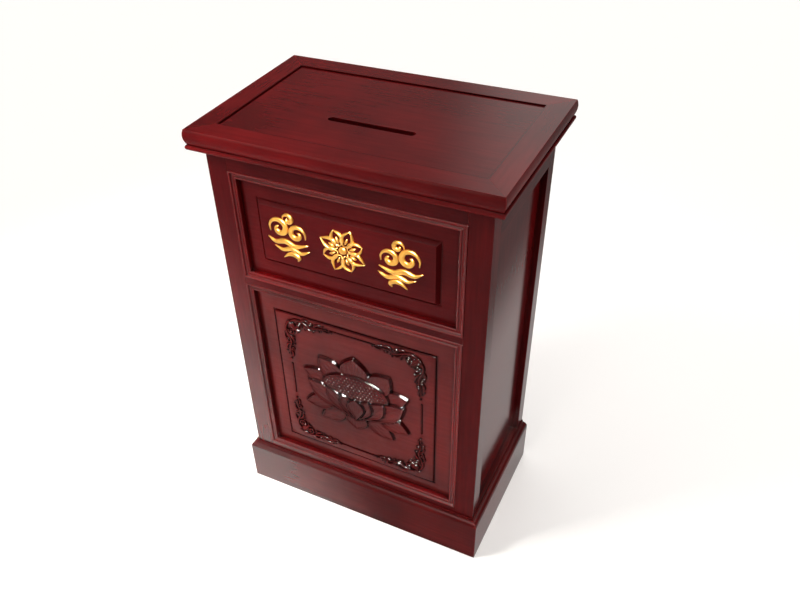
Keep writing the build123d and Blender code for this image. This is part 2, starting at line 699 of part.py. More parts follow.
# ---------------------------------------------------------------- door
DOOR_PANEL_X = DOOR_X - DOOR_STILE_WIDTH
DOOR_PANEL_LOW = DOOR_BOTTOM + DOOR_BOTTOM_RAIL
DOOR_PANEL_HIGH = DOOR_TOP - DOOR_STILE_WIDTH
DOOR_FACES = (DOOR_INNER, BODY_BACK)
DOOR_TENON_Z = {
    "door_bottom_rail": (DOOR_BOTTOM + 10, DOOR_PANEL_LOW - 12),
    "door_top_rail": (DOOR_PANEL_HIGH + 10, DOOR_TOP - 7),
}
DOOR_TENON_Y = DOOR_INNER + 8


def door_tenon(x_side, rail_name):
    """Ranges of a door rail's tenon in the stile."""
    return cross_tenon(x_side, DOOR_TENON_Y, *DOOR_TENON_Z[rail_name], shoulder=DOOR_PANEL_X)


for stile_name, stile_side in (("door_hinge_stile", -1), ("door_lock_stile", 1)):
    with BuildPart() as stile:
        box((stile_side * DOOR_PANEL_X, stile_side * DOOR_X), DOOR_FACES, (DOOR_BOTTOM, DOOR_TOP))
        chamfer(stile.edges().filter_by(Axis.Z).group_by(Axis.Y)[-1], 0.8)
        stile_groove_x = (stile_side * DOOR_PANEL_X, stile_side * (DOOR_PANEL_X + GROOVE_DEPTH))
        stile_groove_z = (DOOR_PANEL_LOW - GROOVE_DEPTH, DOOR_PANEL_HIGH + GROOVE_DEPTH)
        box(stile_groove_x, DOOR_PANEL, stile_groove_z, Mode.SUBTRACT)
        for rail_name in DOOR_TENON_Z:
            box(*door_tenon(stile_side, rail_name), Mode.SUBTRACT)
        if stile_side < 0:
            cut_hinge_seat(1)
        else:
            hole_start = (LOCK_X, DOOR_INNER, LOCK_Z)
            rod(hole_start, BACKWARD, LOCK_HOUSING_RADIUS + FIT, RAIL_THICK, Mode.SUBTRACT)
    save(stile, stile_name)

for door_rail_name, door_rail_z, door_groove in (
    ("door_bottom_rail", (DOOR_BOTTOM, DOOR_PANEL_LOW), -GROOVE_DEPTH),
    ("door_top_rail", (DOOR_PANEL_HIGH, DOOR_TOP), GROOVE_DEPTH),
):
    groove_edge = DOOR_PANEL_LOW if door_groove < 0 else DOOR_PANEL_HIGH
    with BuildPart() as door_rail:
        box((-DOOR_PANEL_X, DOOR_PANEL_X), DOOR_FACES, door_rail_z)
        for rail_side in (-1, 1):
            box(*door_tenon(rail_side, door_rail_name))
        groove_range = (groove_edge, groove_edge + door_groove)
        box((-DOOR_PANEL_X, DOOR_PANEL_X), DOOR_PANEL, groove_range, Mode.SUBTRACT)
    save(door_rail, door_rail_name)

with BuildPart() as door_panel:
    door_tongue_x = DOOR_PANEL_X + TONGUE_LENGTH
    door_tongue_z = (DOOR_PANEL_LOW - TONGUE_LENGTH, DOOR_PANEL_HIGH + TONGUE_LENGTH)
    box((-door_tongue_x, door_tongue_x), DOOR_PANEL, door_tongue_z)
save(door_panel, "door_panel")

with BuildPart() as door_stops:
    stop_faces = (SIDE_BACK, DOOR_INNER - 0.5)
    for stop_side in (-1, 1):
        stop_x = (stop_side * OPENING_X, stop_side * (OPENING_X - DOOR_STOP))
        box(stop_x, stop_faces, (DOOR_BOTTOM, DOOR_TOP_OPENING))
    top_stop_x = OPENING_X - DOOR_STOP - 0.2
    box((-top_stop_x, top_stop_x), stop_faces, (DOOR_TOP_OPENING - DOOR_STOP, DOOR_TOP_OPENING))
save(door_stops, "door_stops")


# ---------------------------------------------------------------- hinges
def make_hinge_leaf(name, middle, side, knuckles):
    """Hinge leaf with its own knuckles; side is -1 on the frame and 1 on the door."""
    face = HINGE_X + side * HINGE_LEAF_GAP / 2
    leaf_x = (face, face + side * HINGE_LEAF_THICK)
    pitch = HINGE_HEIGHT / HINGE_KNUCKLES
    low = middle - HINGE_HEIGHT / 2
    with BuildPart() as leaf:
        box(leaf_x, (HINGE_LEAF_BACK, BODY_BACK), (low, low + HINGE_HEIGHT))
        for index in knuckles:
            z_range = (low + index * pitch + 0.15, low + (index + 1) * pitch - 0.15)
            box(leaf_x, (BODY_BACK, HINGE_Y), z_range)
            start = (HINGE_X, HINGE_Y, z_range[0])
            rod(start, UP, HINGE_KNUCKLE_RADIUS, z_range[1] - z_range[0])
        rod((HINGE_X, HINGE_Y, low), UP, HINGE_PIN_RADIUS + FIT, HINGE_HEIGHT, Mode.SUBTRACT)
        for step in HINGE_SCREW_STEPS:
            hole_start = (face, HINGE_SCREW_Y, middle + step)
            screw(hole_start, (side, 0, 0), *HINGE_SCREW, FIT, Mode.SUBTRACT)
    save(leaf, name)


def make_hinge_pin(name, middle):
    """Hinge pin with a flat round head at each end."""
    low = middle - HINGE_HEIGHT / 2
    with BuildPart() as pin:
        rod((HINGE_X, HINGE_Y, low), UP, HINGE_PIN_RADIUS, HINGE_HEIGHT)
        rod((HINGE_X, HINGE_Y, low - 2), UP, HINGE_KNUCKLE_RADIUS, 2)
        rod((HINGE_X, HINGE_Y, low + HINGE_HEIGHT), UP, HINGE_KNUCKLE_RADIUS, 2)
        fillet(pin.edges().filter_by(GeomType.CIRCLE).group_by(Axis.Z)[-1], 1)
        fillet(pin.edges().filter_by(GeomType.CIRCLE).group_by(Axis.Z)[0], 1)
    save(pin, name)


def make_hinge_screws(name, side):
    """All the screws of one side of both hinges."""
    face = HINGE_X + side * HINGE_LEAF_GAP / 2
    with BuildPart() as screws:
        for middle in HINGE_CENTRES.values():
            for step in HINGE_SCREW_STEPS:
                screw((face, HINGE_SCREW_Y, middle + step), (side, 0, 0), *HINGE_SCREW)
    save(screws, name)


for hinge_label, hinge_middle in HINGE_CENTRES.items():
    make_hinge_leaf(f"{hinge_label}_hinge_frame_leaf", hinge_middle, -1, (0, 2, 4))
    make_hinge_leaf(f"{hinge_label}_hinge_door_leaf", hinge_middle, 1, (1, 3))
    make_hinge_pin(f"{hinge_label}_hinge_pin", hinge_middle)
make_hinge_screws("hinge_frame_screws", -1)
make_hinge_screws("hinge_door_screws", 1)

# ---------------------------------------------------------------- cam lock
CAM_OUTER = SIDE_BACK - 1
CAM_INNER = CAM_OUTER - CAM_THICK
HOUSING_END = CAM_OUTER + 0.4
LOCK_FACE = BODY_BACK + 2

with BuildPart() as lock_housing:
    rod((LOCK_X, HOUSING_END, LOCK_Z), BACKWARD, LOCK_HOUSING_RADIUS, BODY_BACK - HOUSING_END)
    rod((LOCK_X, BODY_BACK, LOCK_Z), BACKWARD, LOCK_HOUSING_RADIUS + 2.5, LOCK_FACE - BODY_BACK)
    fillet(lock_housing.faces().sort_by(Axis.Y)[-1].edges(), 0.8)
    bore_length = LOCK_FACE - HOUSING_END
    rod((LOCK_X, HOUSING_END, LOCK_Z), BACKWARD, LOCK_PLUG_RADIUS + FIT, bore_length, Mode.SUBTRACT)
save(lock_housing, "lock_housing")

with BuildPart() as lock_nut:
    with BuildSketch(front_plane(DOOR_INNER, LOCK_Z, LOCK_X)):
        RegularPolygon(12.5, 6)
        Circle(LOCK_HOUSING_RADIUS + FIT, mode=Mode.SUBTRACT)
    extrude(amount=5)
save(lock_nut, "lock_nut")

with BuildPart() as lock_plug:
    rod((LOCK_X, CAM_OUTER, LOCK_Z), BACKWARD, LOCK_PLUG_RADIUS, LOCK_FACE + 0.3 - CAM_OUTER)
    box((LOCK_X - 4, LOCK_X + 4), (CAM_INNER + 0.2, CAM_OUTER), (LOCK_Z - 4, LOCK_Z + 4))
    keyway_y = (LOCK_FACE - 4, LOCK_FACE + 0.3)
    box((LOCK_X - 0.7, LOCK_X + 0.7), keyway_y, (LOCK_Z - 3.5, LOCK_Z + 3.5), Mode.SUBTRACT)
    rod((LOCK_X, CAM_INNER, LOCK_Z), BACKWARD, 2 + FIT, 14, Mode.SUBTRACT)
save(lock_plug, "lock_plug")

with BuildPart() as lock_cam:
    with BuildSketch(front_plane(CAM_OUTER, LOCK_Z, LOCK_X)):
        Circle(9)
        with Locations((0, (CAM_REACH - 6) / 2)):
            Rectangle(14, CAM_REACH - 6)
        with Locations((0, CAM_REACH - 7)):
            Circle(7)
        Rectangle(8.1, 8.1, mode=Mode.SUBTRACT)
    extrude(amount=CAM_THICK)
save(lock_cam, "lock_cam")

with BuildPart() as lock_cam_screw:
    with BuildSketch(front_plane(CAM_INNER, LOCK_Z, LOCK_X)):
        RegularPolygon(5.5, 6)
    extrude(amount=3)
    chamfer(lock_cam_screw.faces().sort_by(Axis.Y)[0].edges(), 0.5)
    rod((LOCK_X, CAM_INNER, LOCK_Z), BACKWARD, 2, 13)
save(lock_cam_screw, "lock_cam_screw")
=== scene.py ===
"""Looks of the lacquered donation box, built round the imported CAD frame."""
import json
import math
import random

import bmesh
import bpy
import numpy as np
from mathutils import Matrix, Vector


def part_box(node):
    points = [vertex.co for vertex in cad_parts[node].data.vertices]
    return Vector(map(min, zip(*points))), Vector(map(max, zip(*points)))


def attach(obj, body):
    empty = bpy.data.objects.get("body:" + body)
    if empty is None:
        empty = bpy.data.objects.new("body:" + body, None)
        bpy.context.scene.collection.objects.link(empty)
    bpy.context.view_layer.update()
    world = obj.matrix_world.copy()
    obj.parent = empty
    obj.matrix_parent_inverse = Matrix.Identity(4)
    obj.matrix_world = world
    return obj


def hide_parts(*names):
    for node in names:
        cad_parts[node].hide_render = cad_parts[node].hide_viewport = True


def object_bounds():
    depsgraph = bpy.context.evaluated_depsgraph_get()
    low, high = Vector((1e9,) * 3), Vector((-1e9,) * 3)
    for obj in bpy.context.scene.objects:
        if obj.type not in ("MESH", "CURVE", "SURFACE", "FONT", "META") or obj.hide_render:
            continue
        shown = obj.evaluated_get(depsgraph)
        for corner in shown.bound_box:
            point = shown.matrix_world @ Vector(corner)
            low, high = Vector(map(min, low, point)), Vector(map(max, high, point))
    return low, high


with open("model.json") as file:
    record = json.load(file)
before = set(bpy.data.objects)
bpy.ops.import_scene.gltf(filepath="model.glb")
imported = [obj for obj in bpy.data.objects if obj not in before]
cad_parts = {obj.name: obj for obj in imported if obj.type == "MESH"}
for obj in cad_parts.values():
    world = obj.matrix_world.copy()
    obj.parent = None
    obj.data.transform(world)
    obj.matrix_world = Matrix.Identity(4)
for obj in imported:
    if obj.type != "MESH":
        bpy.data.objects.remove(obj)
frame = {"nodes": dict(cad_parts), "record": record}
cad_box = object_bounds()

scene = bpy.context.scene
MM = 0.001


# ---------------------------------------------------------------- camera
LID_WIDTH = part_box("lid_front_rail")[1].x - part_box("lid_front_rail")[0].x
CAMERA_AZIMUTH = math.radians(28.85)
CAMERA_ELEVATION = math.radians(40.33)
CAMERA_ROLL = math.radians(-2.80)
CAMERA_DISTANCE = 2.8408 * LID_WIDTH
CAMERA_OFFSET = (-0.0651 * LID_WIDTH, -0.0967 * LID_WIDTH)
CAMERA_SHIFT = (0.0375, 0.0563)
SENSOR_WIDTH, FOCAL_LENGTH = 36, 35.66


def make_camera():
    """Camera at the reference viewing angle, aimed about the middle of the box."""
    middle = Vector((0, 0, cad_box[1].z / 2))
    az, el = CAMERA_AZIMUTH, CAMERA_ELEVATION
    back = Vector((math.sin(az) * math.cos(el), -math.cos(az) * math.cos(el), math.sin(el)))
    level = Vector((0, 0, 1)).cross(back).normalized()
    upright = back.cross(level)
    right = math.cos(CAMERA_ROLL) * level + math.sin(CAMERA_ROLL) * upright
    up = -math.sin(CAMERA_ROLL) * level + math.cos(CAMERA_ROLL) * upright
    place = middle + back * CAMERA_DISTANCE + right * CAMERA_OFFSET[0] + up * CAMERA_OFFSET[1]
    data = bpy.data.cameras.new("camera")
    data.sensor_width = SENSOR_WIDTH
    data.lens = FOCAL_LENGTH
    data.shift_x, data.shift_y = CAMERA_SHIFT
    camera = bpy.data.objects.new("camera", data)
    scene.collection.objects.link(camera)
    turn = Matrix((right, up, back)).transposed().to_4x4()
    camera.matrix_world = Matrix.Translation(place) @ turn
    scene.camera = camera


make_camera()


# ---------------------------------------------------------------- stage and light
FLOOR_HALF = 6
FLOOR_COLOUR = (0.9, 0.9, 0.9, 1)
FLOOR_GLOW = 0.17
FLOOR_ROUGHNESS = 0.7

ROOM_TINT = (1.0, 0.96, 0.92, 1)
CEILING, CEILING_FADE = 1.9, (0.62, 0.90)
WINDOW, WINDOW_RISE, WINDOW_FALL = 1.1, (-0.36, -0.24), (-0.12, 0.0)
# Ranges of direction over which the walls change, each with the two brightness factors that it joins.
LEFT_WALL = (-0.75, -0.15, 0.04, 0.40)
RIGHT_WALL = (-0.15, 0.25, 1.0, 0.3)
BACK_WALL = (-0.35, 0.7, 0.12, 1.0)

# Lamps that light the box but show in no gloss: place, aim, size, power, colour, spread in degrees.
SHADING_LAMPS = {
    "key": ((-1.1, -1.0, 1.9), (-0.45, -0.2, 0.1), (0.7, 0.7), 6.5, (1, 0.97, 0.92), 55),
    "fill": ((-0.55, -1.0, 0.80), (-0.04, -0.15, 0.62), (0.4, 0.4), 0.34, (1, 0.95, 0.9), 50),
}
# Lamps that show only in gloss: place, aim, size, power, colour.
GLOSS_LAMPS = {
    "strip": ((-0.9, -1.9, 0.95), (0, -0.14, 0.55), (1.3, 0.45), 6.0, (1, 0.95, 0.86)),
    "glint": ((0.42, -1.25, 1.60), (0, -0.14, 0.35), (0.25, 0.25), 540, (1, 0.92, 0.86)),
}


def area_light(name, place, aim, size, power, colour):
    """Soft rectangular light at a place, aimed at a point."""
    data = bpy.data.lights.new(name, "AREA")
    data.shape = "RECTANGLE"
    data.size, data.size_y = size
    data.energy = power
    data.color = colour
    light = bpy.data.objects.new(name, data)
    scene.collection.objects.link(light)
    light.location = place
    light.rotation_euler = (Vector(aim) - Vector(place)).to_track_quat("-Z", "Y").to_euler()
    return light


def make_stage():
    """Large plain pale floor, with a little glow of its own so that it stays white."""
    mesh = bpy.data.meshes.new("floor")
    corners = [(-1, -1), (1, -1), (1, 1), (-1, 1)]
    mesh.from_pydata([(FLOOR_HALF * x, FLOOR_HALF * y, 0) for x, y in corners], [], [(0, 1, 2, 3)])
    floor = bpy.data.objects.new("floor", mesh)
    scene.collection.objects.link(floor)
    material = bpy.data.materials.new("pale_floor")
    material.use_nodes = True
    shader = material.node_tree.nodes["Principled BSDF"]
    shader.inputs["Base Color"].default_value = FLOOR_COLOUR
    shader.inputs["Emission Color"].default_value = (1.0, 1.0, 1.0, 1)
    shader.inputs["Emission Strength"].default_value = FLOOR_GLOW
    shader.inputs["Roughness"].default_value = FLOOR_ROUGHNESS
    shader.inputs["Specular IOR Level"].default_value = 0.0
    mesh.materials.append(material)


def smooth_range(tree, value, low, high, start, end):
    """Value mapped smoothly from one range to another."""
    made = tree.nodes.new("ShaderNodeMapRange")
    made.interpolation_type = "SMOOTHSTEP"
    tree.links.new(value, made.inputs["Value"])
    for key, number in (("From Min", low), ("From Max", high), ("To Min", start), ("To Max", end)):
        made.inputs[key].default_value = number
    return made.outputs[0]


def combine(tree, operation, first, second):
    """Math of two sockets."""
    made = tree.nodes.new("ShaderNodeMath")
    made.operation = operation
    tree.links.new(first, made.inputs[0])
    tree.links.new(second, made.inputs[1])
    return made.outputs[0]


def make_world():
    """Bright ceiling over a dim room graded from wall to wall, with an upright bright band behind the box."""
    world = bpy.data.worlds.new("room")
    world.use_nodes = True
    tree = world.node_tree
    way = tree.nodes.new("ShaderNodeTexCoord").outputs["Generated"]
    split = tree.nodes.new("ShaderNodeSeparateXYZ")
    tree.links.new(way, split.inputs[0])
    left = smooth_range(tree, split.outputs["X"], *LEFT_WALL)
    right = smooth_range(tree, split.outputs["X"], *RIGHT_WALL)
    behind = smooth_range(tree, split.outputs["Y"], *BACK_WALL)
    walls = combine(tree, "MULTIPLY", combine(tree, "MULTIPLY", left, right), behind)
    band = combine(tree, "MULTIPLY", smooth_range(tree, split.outputs["X"], *WINDOW_RISE, 0.0, WINDOW),
                   smooth_range(tree, split.outputs["X"], *WINDOW_FALL, 1.0, 0.0))
    window = combine(tree, "MULTIPLY", band, behind)
    ceiling = smooth_range(tree, split.outputs["Z"], *CEILING_FADE, 0.0, CEILING)
    total = combine(tree, "ADD", combine(tree, "ADD", walls, ceiling), window)
    background = tree.nodes["Background"]
    background.inputs["Color"].default_value = ROOM_TINT
    tree.links.new(total, background.inputs["Strength"])
    scene.world = world


def make_lights():
    """Key and fill that are hidden from gloss, and a strip and a glint lamp seen only in gloss."""
    for name, (*settings, spread) in SHADING_LAMPS.items():
        lamp = area_light(name, *settings)
        lamp.data.spread = math.radians(spread)
        lamp.visible_glossy = False
    for name, settings in GLOSS_LAMPS.items():
        lamp = area_light(name, *settings)
        lamp.visible_diffuse = False


make_world()
make_stage()
make_lights()
scene.view_settings.view_transform = "Standard"


# ---------------------------------------------------------------- node helpers
def new_material(name):
    """Material with its node tree, and its main shader."""
    material = bpy.data.materials.new(name)
    material.use_nodes = True
    return material, material.node_tree, material.node_tree.nodes["Principled BSDF"]


def node(tree, kind, inputs=(), **settings):
    """New node with settings and input values; an input given as a socket is linked."""
    made = tree.nodes.new(kind)
    for key, value in settings.items():
        setattr(made, key, value)
    for key, value in dict(inputs).items():
        if isinstance(value, bpy.types.NodeSocket):
            tree.links.new(value, made.inputs[key])
        else:
            made.inputs[key].default_value = value
    return made


def ramp(tree, factor, stops):
    """Colour ramp with the given stops, fed by a factor."""
    made = node(tree, "ShaderNodeValToRGB", {"Fac": factor})
    elements = made.color_ramp.elements
    while len(elements) < len(stops):
        elements.new(0.5)
    for element, (place, colour) in zip(elements, stops):
        element.position = place
        element.color = (*colour, 1)
    return made.outputs["Color"]


def mix_colour(tree, blend, factor, first, second):
    """Mixed colour of two sockets or values."""
    made = node(tree, "ShaderNodeMix", data_type="RGBA", blend_type=blend)
    for index, value in ((0, factor), (6, first), (7, second)):
        if isinstance(value, bpy.types.NodeSocket):
            tree.links.new(value, made.inputs[index])
        else:
            made.inputs[index].default_value = value
    return made.outputs[2]


def edge_mask(tree, radius, gain=9.0):
    """Mask that is 1 on arrises and 0 on flats."""
    rounded = node(tree, "ShaderNodeBevel", {"Radius": radius}, samples=6).outputs[0]
    true_normal = node(tree, "ShaderNodeNewGeometry").outputs["Normal"]
    same = node(tree, "ShaderNodeVectorMath", {0: rounded, 1: true_normal}, operation="DOT_PRODUCT")
    levels = {"Value": same.outputs["Value"], "From Min": 1.0, "From Max": 1.0 - 1.0 / gain,
              "To Min": 0.0, "To Max": 1.0}
    return node(tree, "ShaderNodeMapRange", levels).outputs[0]


def added(tree, first, second):
    """Sum of two sockets."""
    return node(tree, "ShaderNodeMath", {0: first, 1: second}, operation="ADD").outputs[0]


def facing(tree):
    """Parts of the surface normal along each axis."""
    normal = node(tree, "ShaderNodeNewGeometry").outputs["Normal"]
    return node(tree, "ShaderNodeSeparateXYZ", {0: normal}).outputs


# Scale of the fibres along each axis, by the axis that the grain follows.
GRAIN_STRETCH = {"x": (5, 90, 90), "y": (90, 5, 90), "z": (90, 90, 5)}
# Brighter red along the arrises, partly wear and partly a painted highlight: its tint, share and radius.
WORN_EDGE_HIGHLIGHT, WORN_SHARE, WORN_RADIUS = (0.26, 0.012, 0.012), 0.45, 0.0016

# Coat weight at the two ends of a range in metres: of height on the side, and on the front of a slant, which is
# X plus a share of the height.
SIDE_COAT, SIDE_COAT_RANGE = (0.62, 0.14), (0.42, 0.64)
FRONT_COAT, FRONT_COAT_RANGE = (1.0, 0.13), (-0.18, 0.10)
FRONT_COAT_SLANT = 0.45
# Range of the normal's X over which a face comes to count as the right side.
SIDE_FACING = (0.4, 0.8)

# Half sizes of the opening in the lid frame, and a height just under its top.
LID_RECESS, LID_RECESS_Z = (0.220, 0.126), 0.79
# Painted shade: width, strength and tint of a dark line round the lid's sunk panel, where its recessed edge is
# in shade.
RECESS_SHADE_FADE, RECESS_SHADE_STRENGTH, RECESS_SHADE_TINT = (0.0005, 0.0026), 0.85, (0.22, 0.16, 0.16, 1)

WHITE = (1, 1, 1)
CLOUD_TONES = [(0.32, (0.60, 0.66, 0.70)), (0.68, (1.32, 1.05, 1.08))]
# Painted shade: reach and tint of the darkening in hollows, on plain and carved faces, and the tones that
# darken steep carved walls.
HOLLOW_REACH, HOLLOW_SHADE_TINT = 0.028, (0.16, 0.12, 0.12)
CARVED_REACH, CARVED_SHADE_TINT = 0.010, (0.28, 0.17, 0.17)
WALL_SHADE_TONES = [(0.60, (0.36, 0.22, 0.22)), (0.975, WHITE)]
COAT_IOR = 1.5


def polish(tree, place, coat, flats):
    """Coat weight: even, but falling off up the front and up the right side, which shapes their gloss."""
    turned = facing(tree)
    split = node(tree, "ShaderNodeSeparateXYZ", {0: place}).outputs
    slant = node(tree, "ShaderNodeMath", {0: split["Z"], 1: FRONT_COAT_SLANT, 2: split["X"]},
                 operation="MULTIPLY_ADD").outputs[0]
    to_right = smooth_range(tree, turned["X"], *SIDE_FACING, 0.0, 1.0)
    to_front = smooth_range(tree, turned["Y"], *flats, 1.0, 0.0)
    side = smooth_range(tree, split["Z"], *SIDE_COAT_RANGE, *SIDE_COAT)
    front = smooth_range(tree, slant, *FRONT_COAT_RANGE, *FRONT_COAT)
    even = node(tree, "ShaderNodeMix", {0: to_front, 2: coat, 3: front}).outputs[0]
    return node(tree, "ShaderNodeMix", {0: to_right, 2: even, 3: side}).outputs[0]


def painted_recess_shade(tree, place):
    """Mask of painted shade: a dark line round the lid's sunk panel, where its recessed edge is in shade."""
    split = node(tree, "ShaderNodeSeparateXYZ", {0: place}).outputs
    beyond = []
    for axis, half in zip("XY", LID_RECESS):
        size = node(tree, "ShaderNodeMath", {0: split[axis]}, operation="ABSOLUTE").outputs[0]
        beyond.append(node(tree, "ShaderNodeMath", {0: size, 1: half}, operation="SUBTRACT").outputs[0])
    signed = combine(tree, "MAXIMUM", *beyond)
    away = node(tree, "ShaderNodeMath", {0: signed}, operation="ABSOLUTE").outputs[0]
    line = smooth_range(tree, away, *RECESS_SHADE_FADE, RECESS_SHADE_STRENGTH, 0.0)
    high = node(tree, "ShaderNodeMath", {0: split["Z"], 1: LID_RECESS_Z}, operation="GREATER_THAN").outputs[0]
    return combine(tree, "MULTIPLY", line, high)


def red_wood(tree, place, fibres, dark, bright):
    """Stained wood: fibres between two tints, under slow clouds of tone."""
    middle = [0.5 * (a + b) for a, b in zip(dark, bright)]
    wood = ramp(tree, fibres, [(0.30, dark), (0.52, middle), (0.72, bright)])
    clouds = node(tree, "ShaderNodeTexNoise", {"Vector": place, "Scale": 5.5, "Detail": 3, "Roughness": 0.5})
    return mix_colour(tree, "MULTIPLY", 1.0, wood, ramp(tree, clouds.outputs["Fac"], CLOUD_TONES))


def painted_hollow_shade(tree, colour, hollows, carved):
    """Colour with painted shade in hollows, found by occlusion, and on a carved face with painted shade on its
    steep walls as well.
    """
    reach, tint = (CARVED_REACH, CARVED_SHADE_TINT) if carved else (HOLLOW_REACH, HOLLOW_SHADE_TINT)
    shade_occlusion = node(tree, "ShaderNodeAmbientOcclusion", {"Distance": reach}, samples=8)
    depth = ramp(tree, shade_occlusion.outputs["AO"], [(hollows[0], tint), (hollows[1], WHITE)])
    colour = mix_colour(tree, "MULTIPLY", 1.0, colour, depth)
    if not carved:
        return colour
    forward = node(tree, "ShaderNodeMath", {0: facing(tree)["Y"], 1: -1.0}, operation="MULTIPLY").outputs[0]
    return mix_colour(tree, "MULTIPLY", 1.0, colour, ramp(tree, forward, WALL_SHADE_TONES))


def worn_and_highlit_edges(tree, colour):
    """Colour rubbed through to a brighter red along the arrises: partly wear, partly a painted highlight on
    them.
    """
    edges = edge_mask(tree, WORN_RADIUS)
    thin = node(tree, "ShaderNodeMath", {0: edges, 1: WORN_SHARE}, operation="MULTIPLY").outputs[0]
    return mix_colour(tree, "MIX", thin, colour, (*WORN_EDGE_HIGHLIGHT, 1))


def lacquer(name, dark, bright, grain, coat, coat_roughness, hollows, carved=False, flats=(-0.75, -0.35)):
    """Dark red lacquer over wood, with its grain along one axis.

    hollows are the openness at which the painted shade in hollows is full and at which it ends. flats are the
    ends of the range of the normal's Y over which a face comes to count as the front.
    """
    material, tree, shader = new_material(f"{name}_{grain}")
    place = node(tree, "ShaderNodeTexCoord").outputs["Object"]
    own = node(tree, "ShaderNodeObjectInfo").outputs["Random"]
    shift = node(tree, "ShaderNodeVectorMath", {0: place, 1: own}, operation="ADD").outputs[0]
    stretched = node(tree, "ShaderNodeMapping", {"Vector": shift, "Scale": GRAIN_STRETCH[grain]}).outputs[0]
    fibres = node(tree, "ShaderNodeTexNoise", {"Vector": stretched, "Scale": 2.4, "Detail": 5,
                                               "Roughness": 0.58, "Distortion": 0.25}).outputs["Fac"]
    peel = node(tree, "ShaderNodeTexNoise", {"Vector": place, "Scale": 160, "Detail": 2}).outputs["Fac"]
    # Painted shade in hollows, and on steep carved walls.
    colour = painted_hollow_shade(tree, red_wood(tree, shift, fibres, dark, bright), hollows, carved)
    # Painted shade as a dark line round the lid's sunk panel.
    colour = mix_colour(tree, "MULTIPLY", painted_recess_shade(tree, place), colour, RECESS_SHADE_TINT)
    if carved:
        shader.inputs["Coat Weight"].default_value = coat
    else:
        # Brighter arrises, partly wear and partly a painted highlight.
        colour = worn_and_highlit_edges(tree, colour)
        tree.links.new(polish(tree, place, coat, flats), shader.inputs["Coat Weight"])
    tree.links.new(colour, shader.inputs["Base Color"])
    gloss = node(tree, "ShaderNodeMapRange", {"Value": fibres, "To Min": 0.30, "To Max": 0.46})
    tree.links.new(gloss.outputs[0], shader.inputs["Roughness"])
    height = added(tree, fibres, peel)
    bump = node(tree, "ShaderNodeBump", {"Height": height, "Strength": 0.07, "Distance": 0.0004})
    tree.links.new(bump.outputs[0], shader.inputs["Normal"])
    coat_bump = node(tree, "ShaderNodeBump", {"Height": peel, "Strength": 0.05, "Distance": 0.0005})
    tree.links.new(coat_bump.outputs[0], shader.inputs["Coat Normal"])
    shader.inputs["Specular IOR Level"].default_value = 0.0
    shader.inputs["Coat Roughness"].default_value = coat_roughness
    shader.inputs["Coat IOR"].default_value = COAT_IOR
    return material


def metal(name, colour, worn, roughness, metallic=1.0, scratch=0.25):
    """Metal with fine scratches, stains and brighter worn edges."""
    material, tree, shader = new_material(name)
    place = node(tree, "ShaderNodeTexCoord").outputs["Object"]
    stains = node(tree, "ShaderNodeTexNoise", {"Vector": place, "Scale": 45, "Detail": 5, "Roughness": 0.6})
    stretched = node(tree, "ShaderNodeMapping", {"Vector": place, "Scale": (900, 900, 60)}).outputs[0]
    brushed = node(tree, "ShaderNodeTexNoise", {"Vector": stretched, "Scale": 1.0, "Detail": 3})
    tone = ramp(tree, stains.outputs["Fac"], [(0.32, [0.72 * c for c in colour]), (0.62, colour)])
    edge = edge_mask(tree, 0.0006)
    tree.links.new(mix_colour(tree, "MIX", edge, tone, (*worn, 1)), shader.inputs["Base Color"])
    gloss = node(tree, "ShaderNodeMapRange", {"Value": brushed.outputs["Fac"], "To Min": roughness * 0.7,
                                              "To Max": roughness * 1.35})
    tree.links.new(gloss.outputs[0], shader.inputs["Roughness"])
    height = added(tree, brushed.outputs["Fac"], stains.outputs["Fac"])
    bump = node(tree, "ShaderNodeBump", {"Height": height, "Strength": scratch, "Distance": 0.0003})
    tree.links.new(bump.outputs[0], shader.inputs["Normal"])
    shader.inputs["Metallic"].default_value = metallic
    return material


def bare_wood(name, dark, bright):
    """Unfinished softwood with rings and fibres, matt."""
    material, tree, shader = new_material(name)
    place = node(tree, "ShaderNodeTexCoord").outputs["Object"]
    own = node(tree, "ShaderNodeObjectInfo").outputs["Random"]
    shift = node(tree, "ShaderNodeVectorMath", {0: place, 1: own}, operation="ADD").outputs[0]
    stretched = node(tree, "ShaderNodeMapping", {"Vector": shift, "Scale": (4, 40, 40)}).outputs[0]
    rings = node(tree, "ShaderNodeTexNoise", {"Vector": stretched, "Scale": 1.6, "Detail": 4,
                                              "Distortion": 0.6})
    fibres = node(tree, "ShaderNodeTexNoise", {"Vector": stretched, "Scale": 14, "Detail": 5,
                                               "Roughness": 0.65})
    grain = added(tree, rings.outputs["Fac"], fibres.outputs["Fac"])
    half = node(tree, "ShaderNodeMath", {0: grain, 1: 0.5}, operation="MULTIPLY").outputs[0]
    tree.links.new(ramp(tree, half, [(0.38, dark), (0.60, bright)]), shader.inputs["Base Color"])
    gloss = node(tree, "ShaderNodeMapRange", {"Value": fibres.outputs["Fac"], "To Min": 0.62, "To Max": 0.85})
    tree.links.new(gloss.outputs[0], shader.inputs["Roughness"])
    bump = node(tree, "ShaderNodeBump", {"Height": half, "Strength": 0.3, "Distance": 0.0006})
    tree.links.new(bump.outputs[0], shader.inputs["Normal"])
    return material


# ---------------------------------------------------------------- finishing the CAD nodes
ARRIS_WIDTH = 0.7


def soften(piece, width):
    """Rounded arrises by modifiers; the mesh itself stays as packed."""
    weld = piece.modifiers.new("weld", "WELD")
    weld.merge_threshold = 0.01 * MM
    flat = piece.modifiers.new("flat", "DECIMATE")
    flat.decimate_type = "DISSOLVE"
    flat.angle_limit = math.radians(0.3)
    bevel = piece.modifiers.new("arris", "BEVEL")
    bevel.width = width * MM
    bevel.segments = 3
    bevel.limit_method = "ANGLE"
    bevel.angle_limit = math.radians(35)
    bevel.loop_slide = False
    bevel.harden_normals = True
    normals = piece.modifiers.new("normals", "WEIGHTED_NORMAL")
    normals.keep_sharp = True


LACQUERS = {}
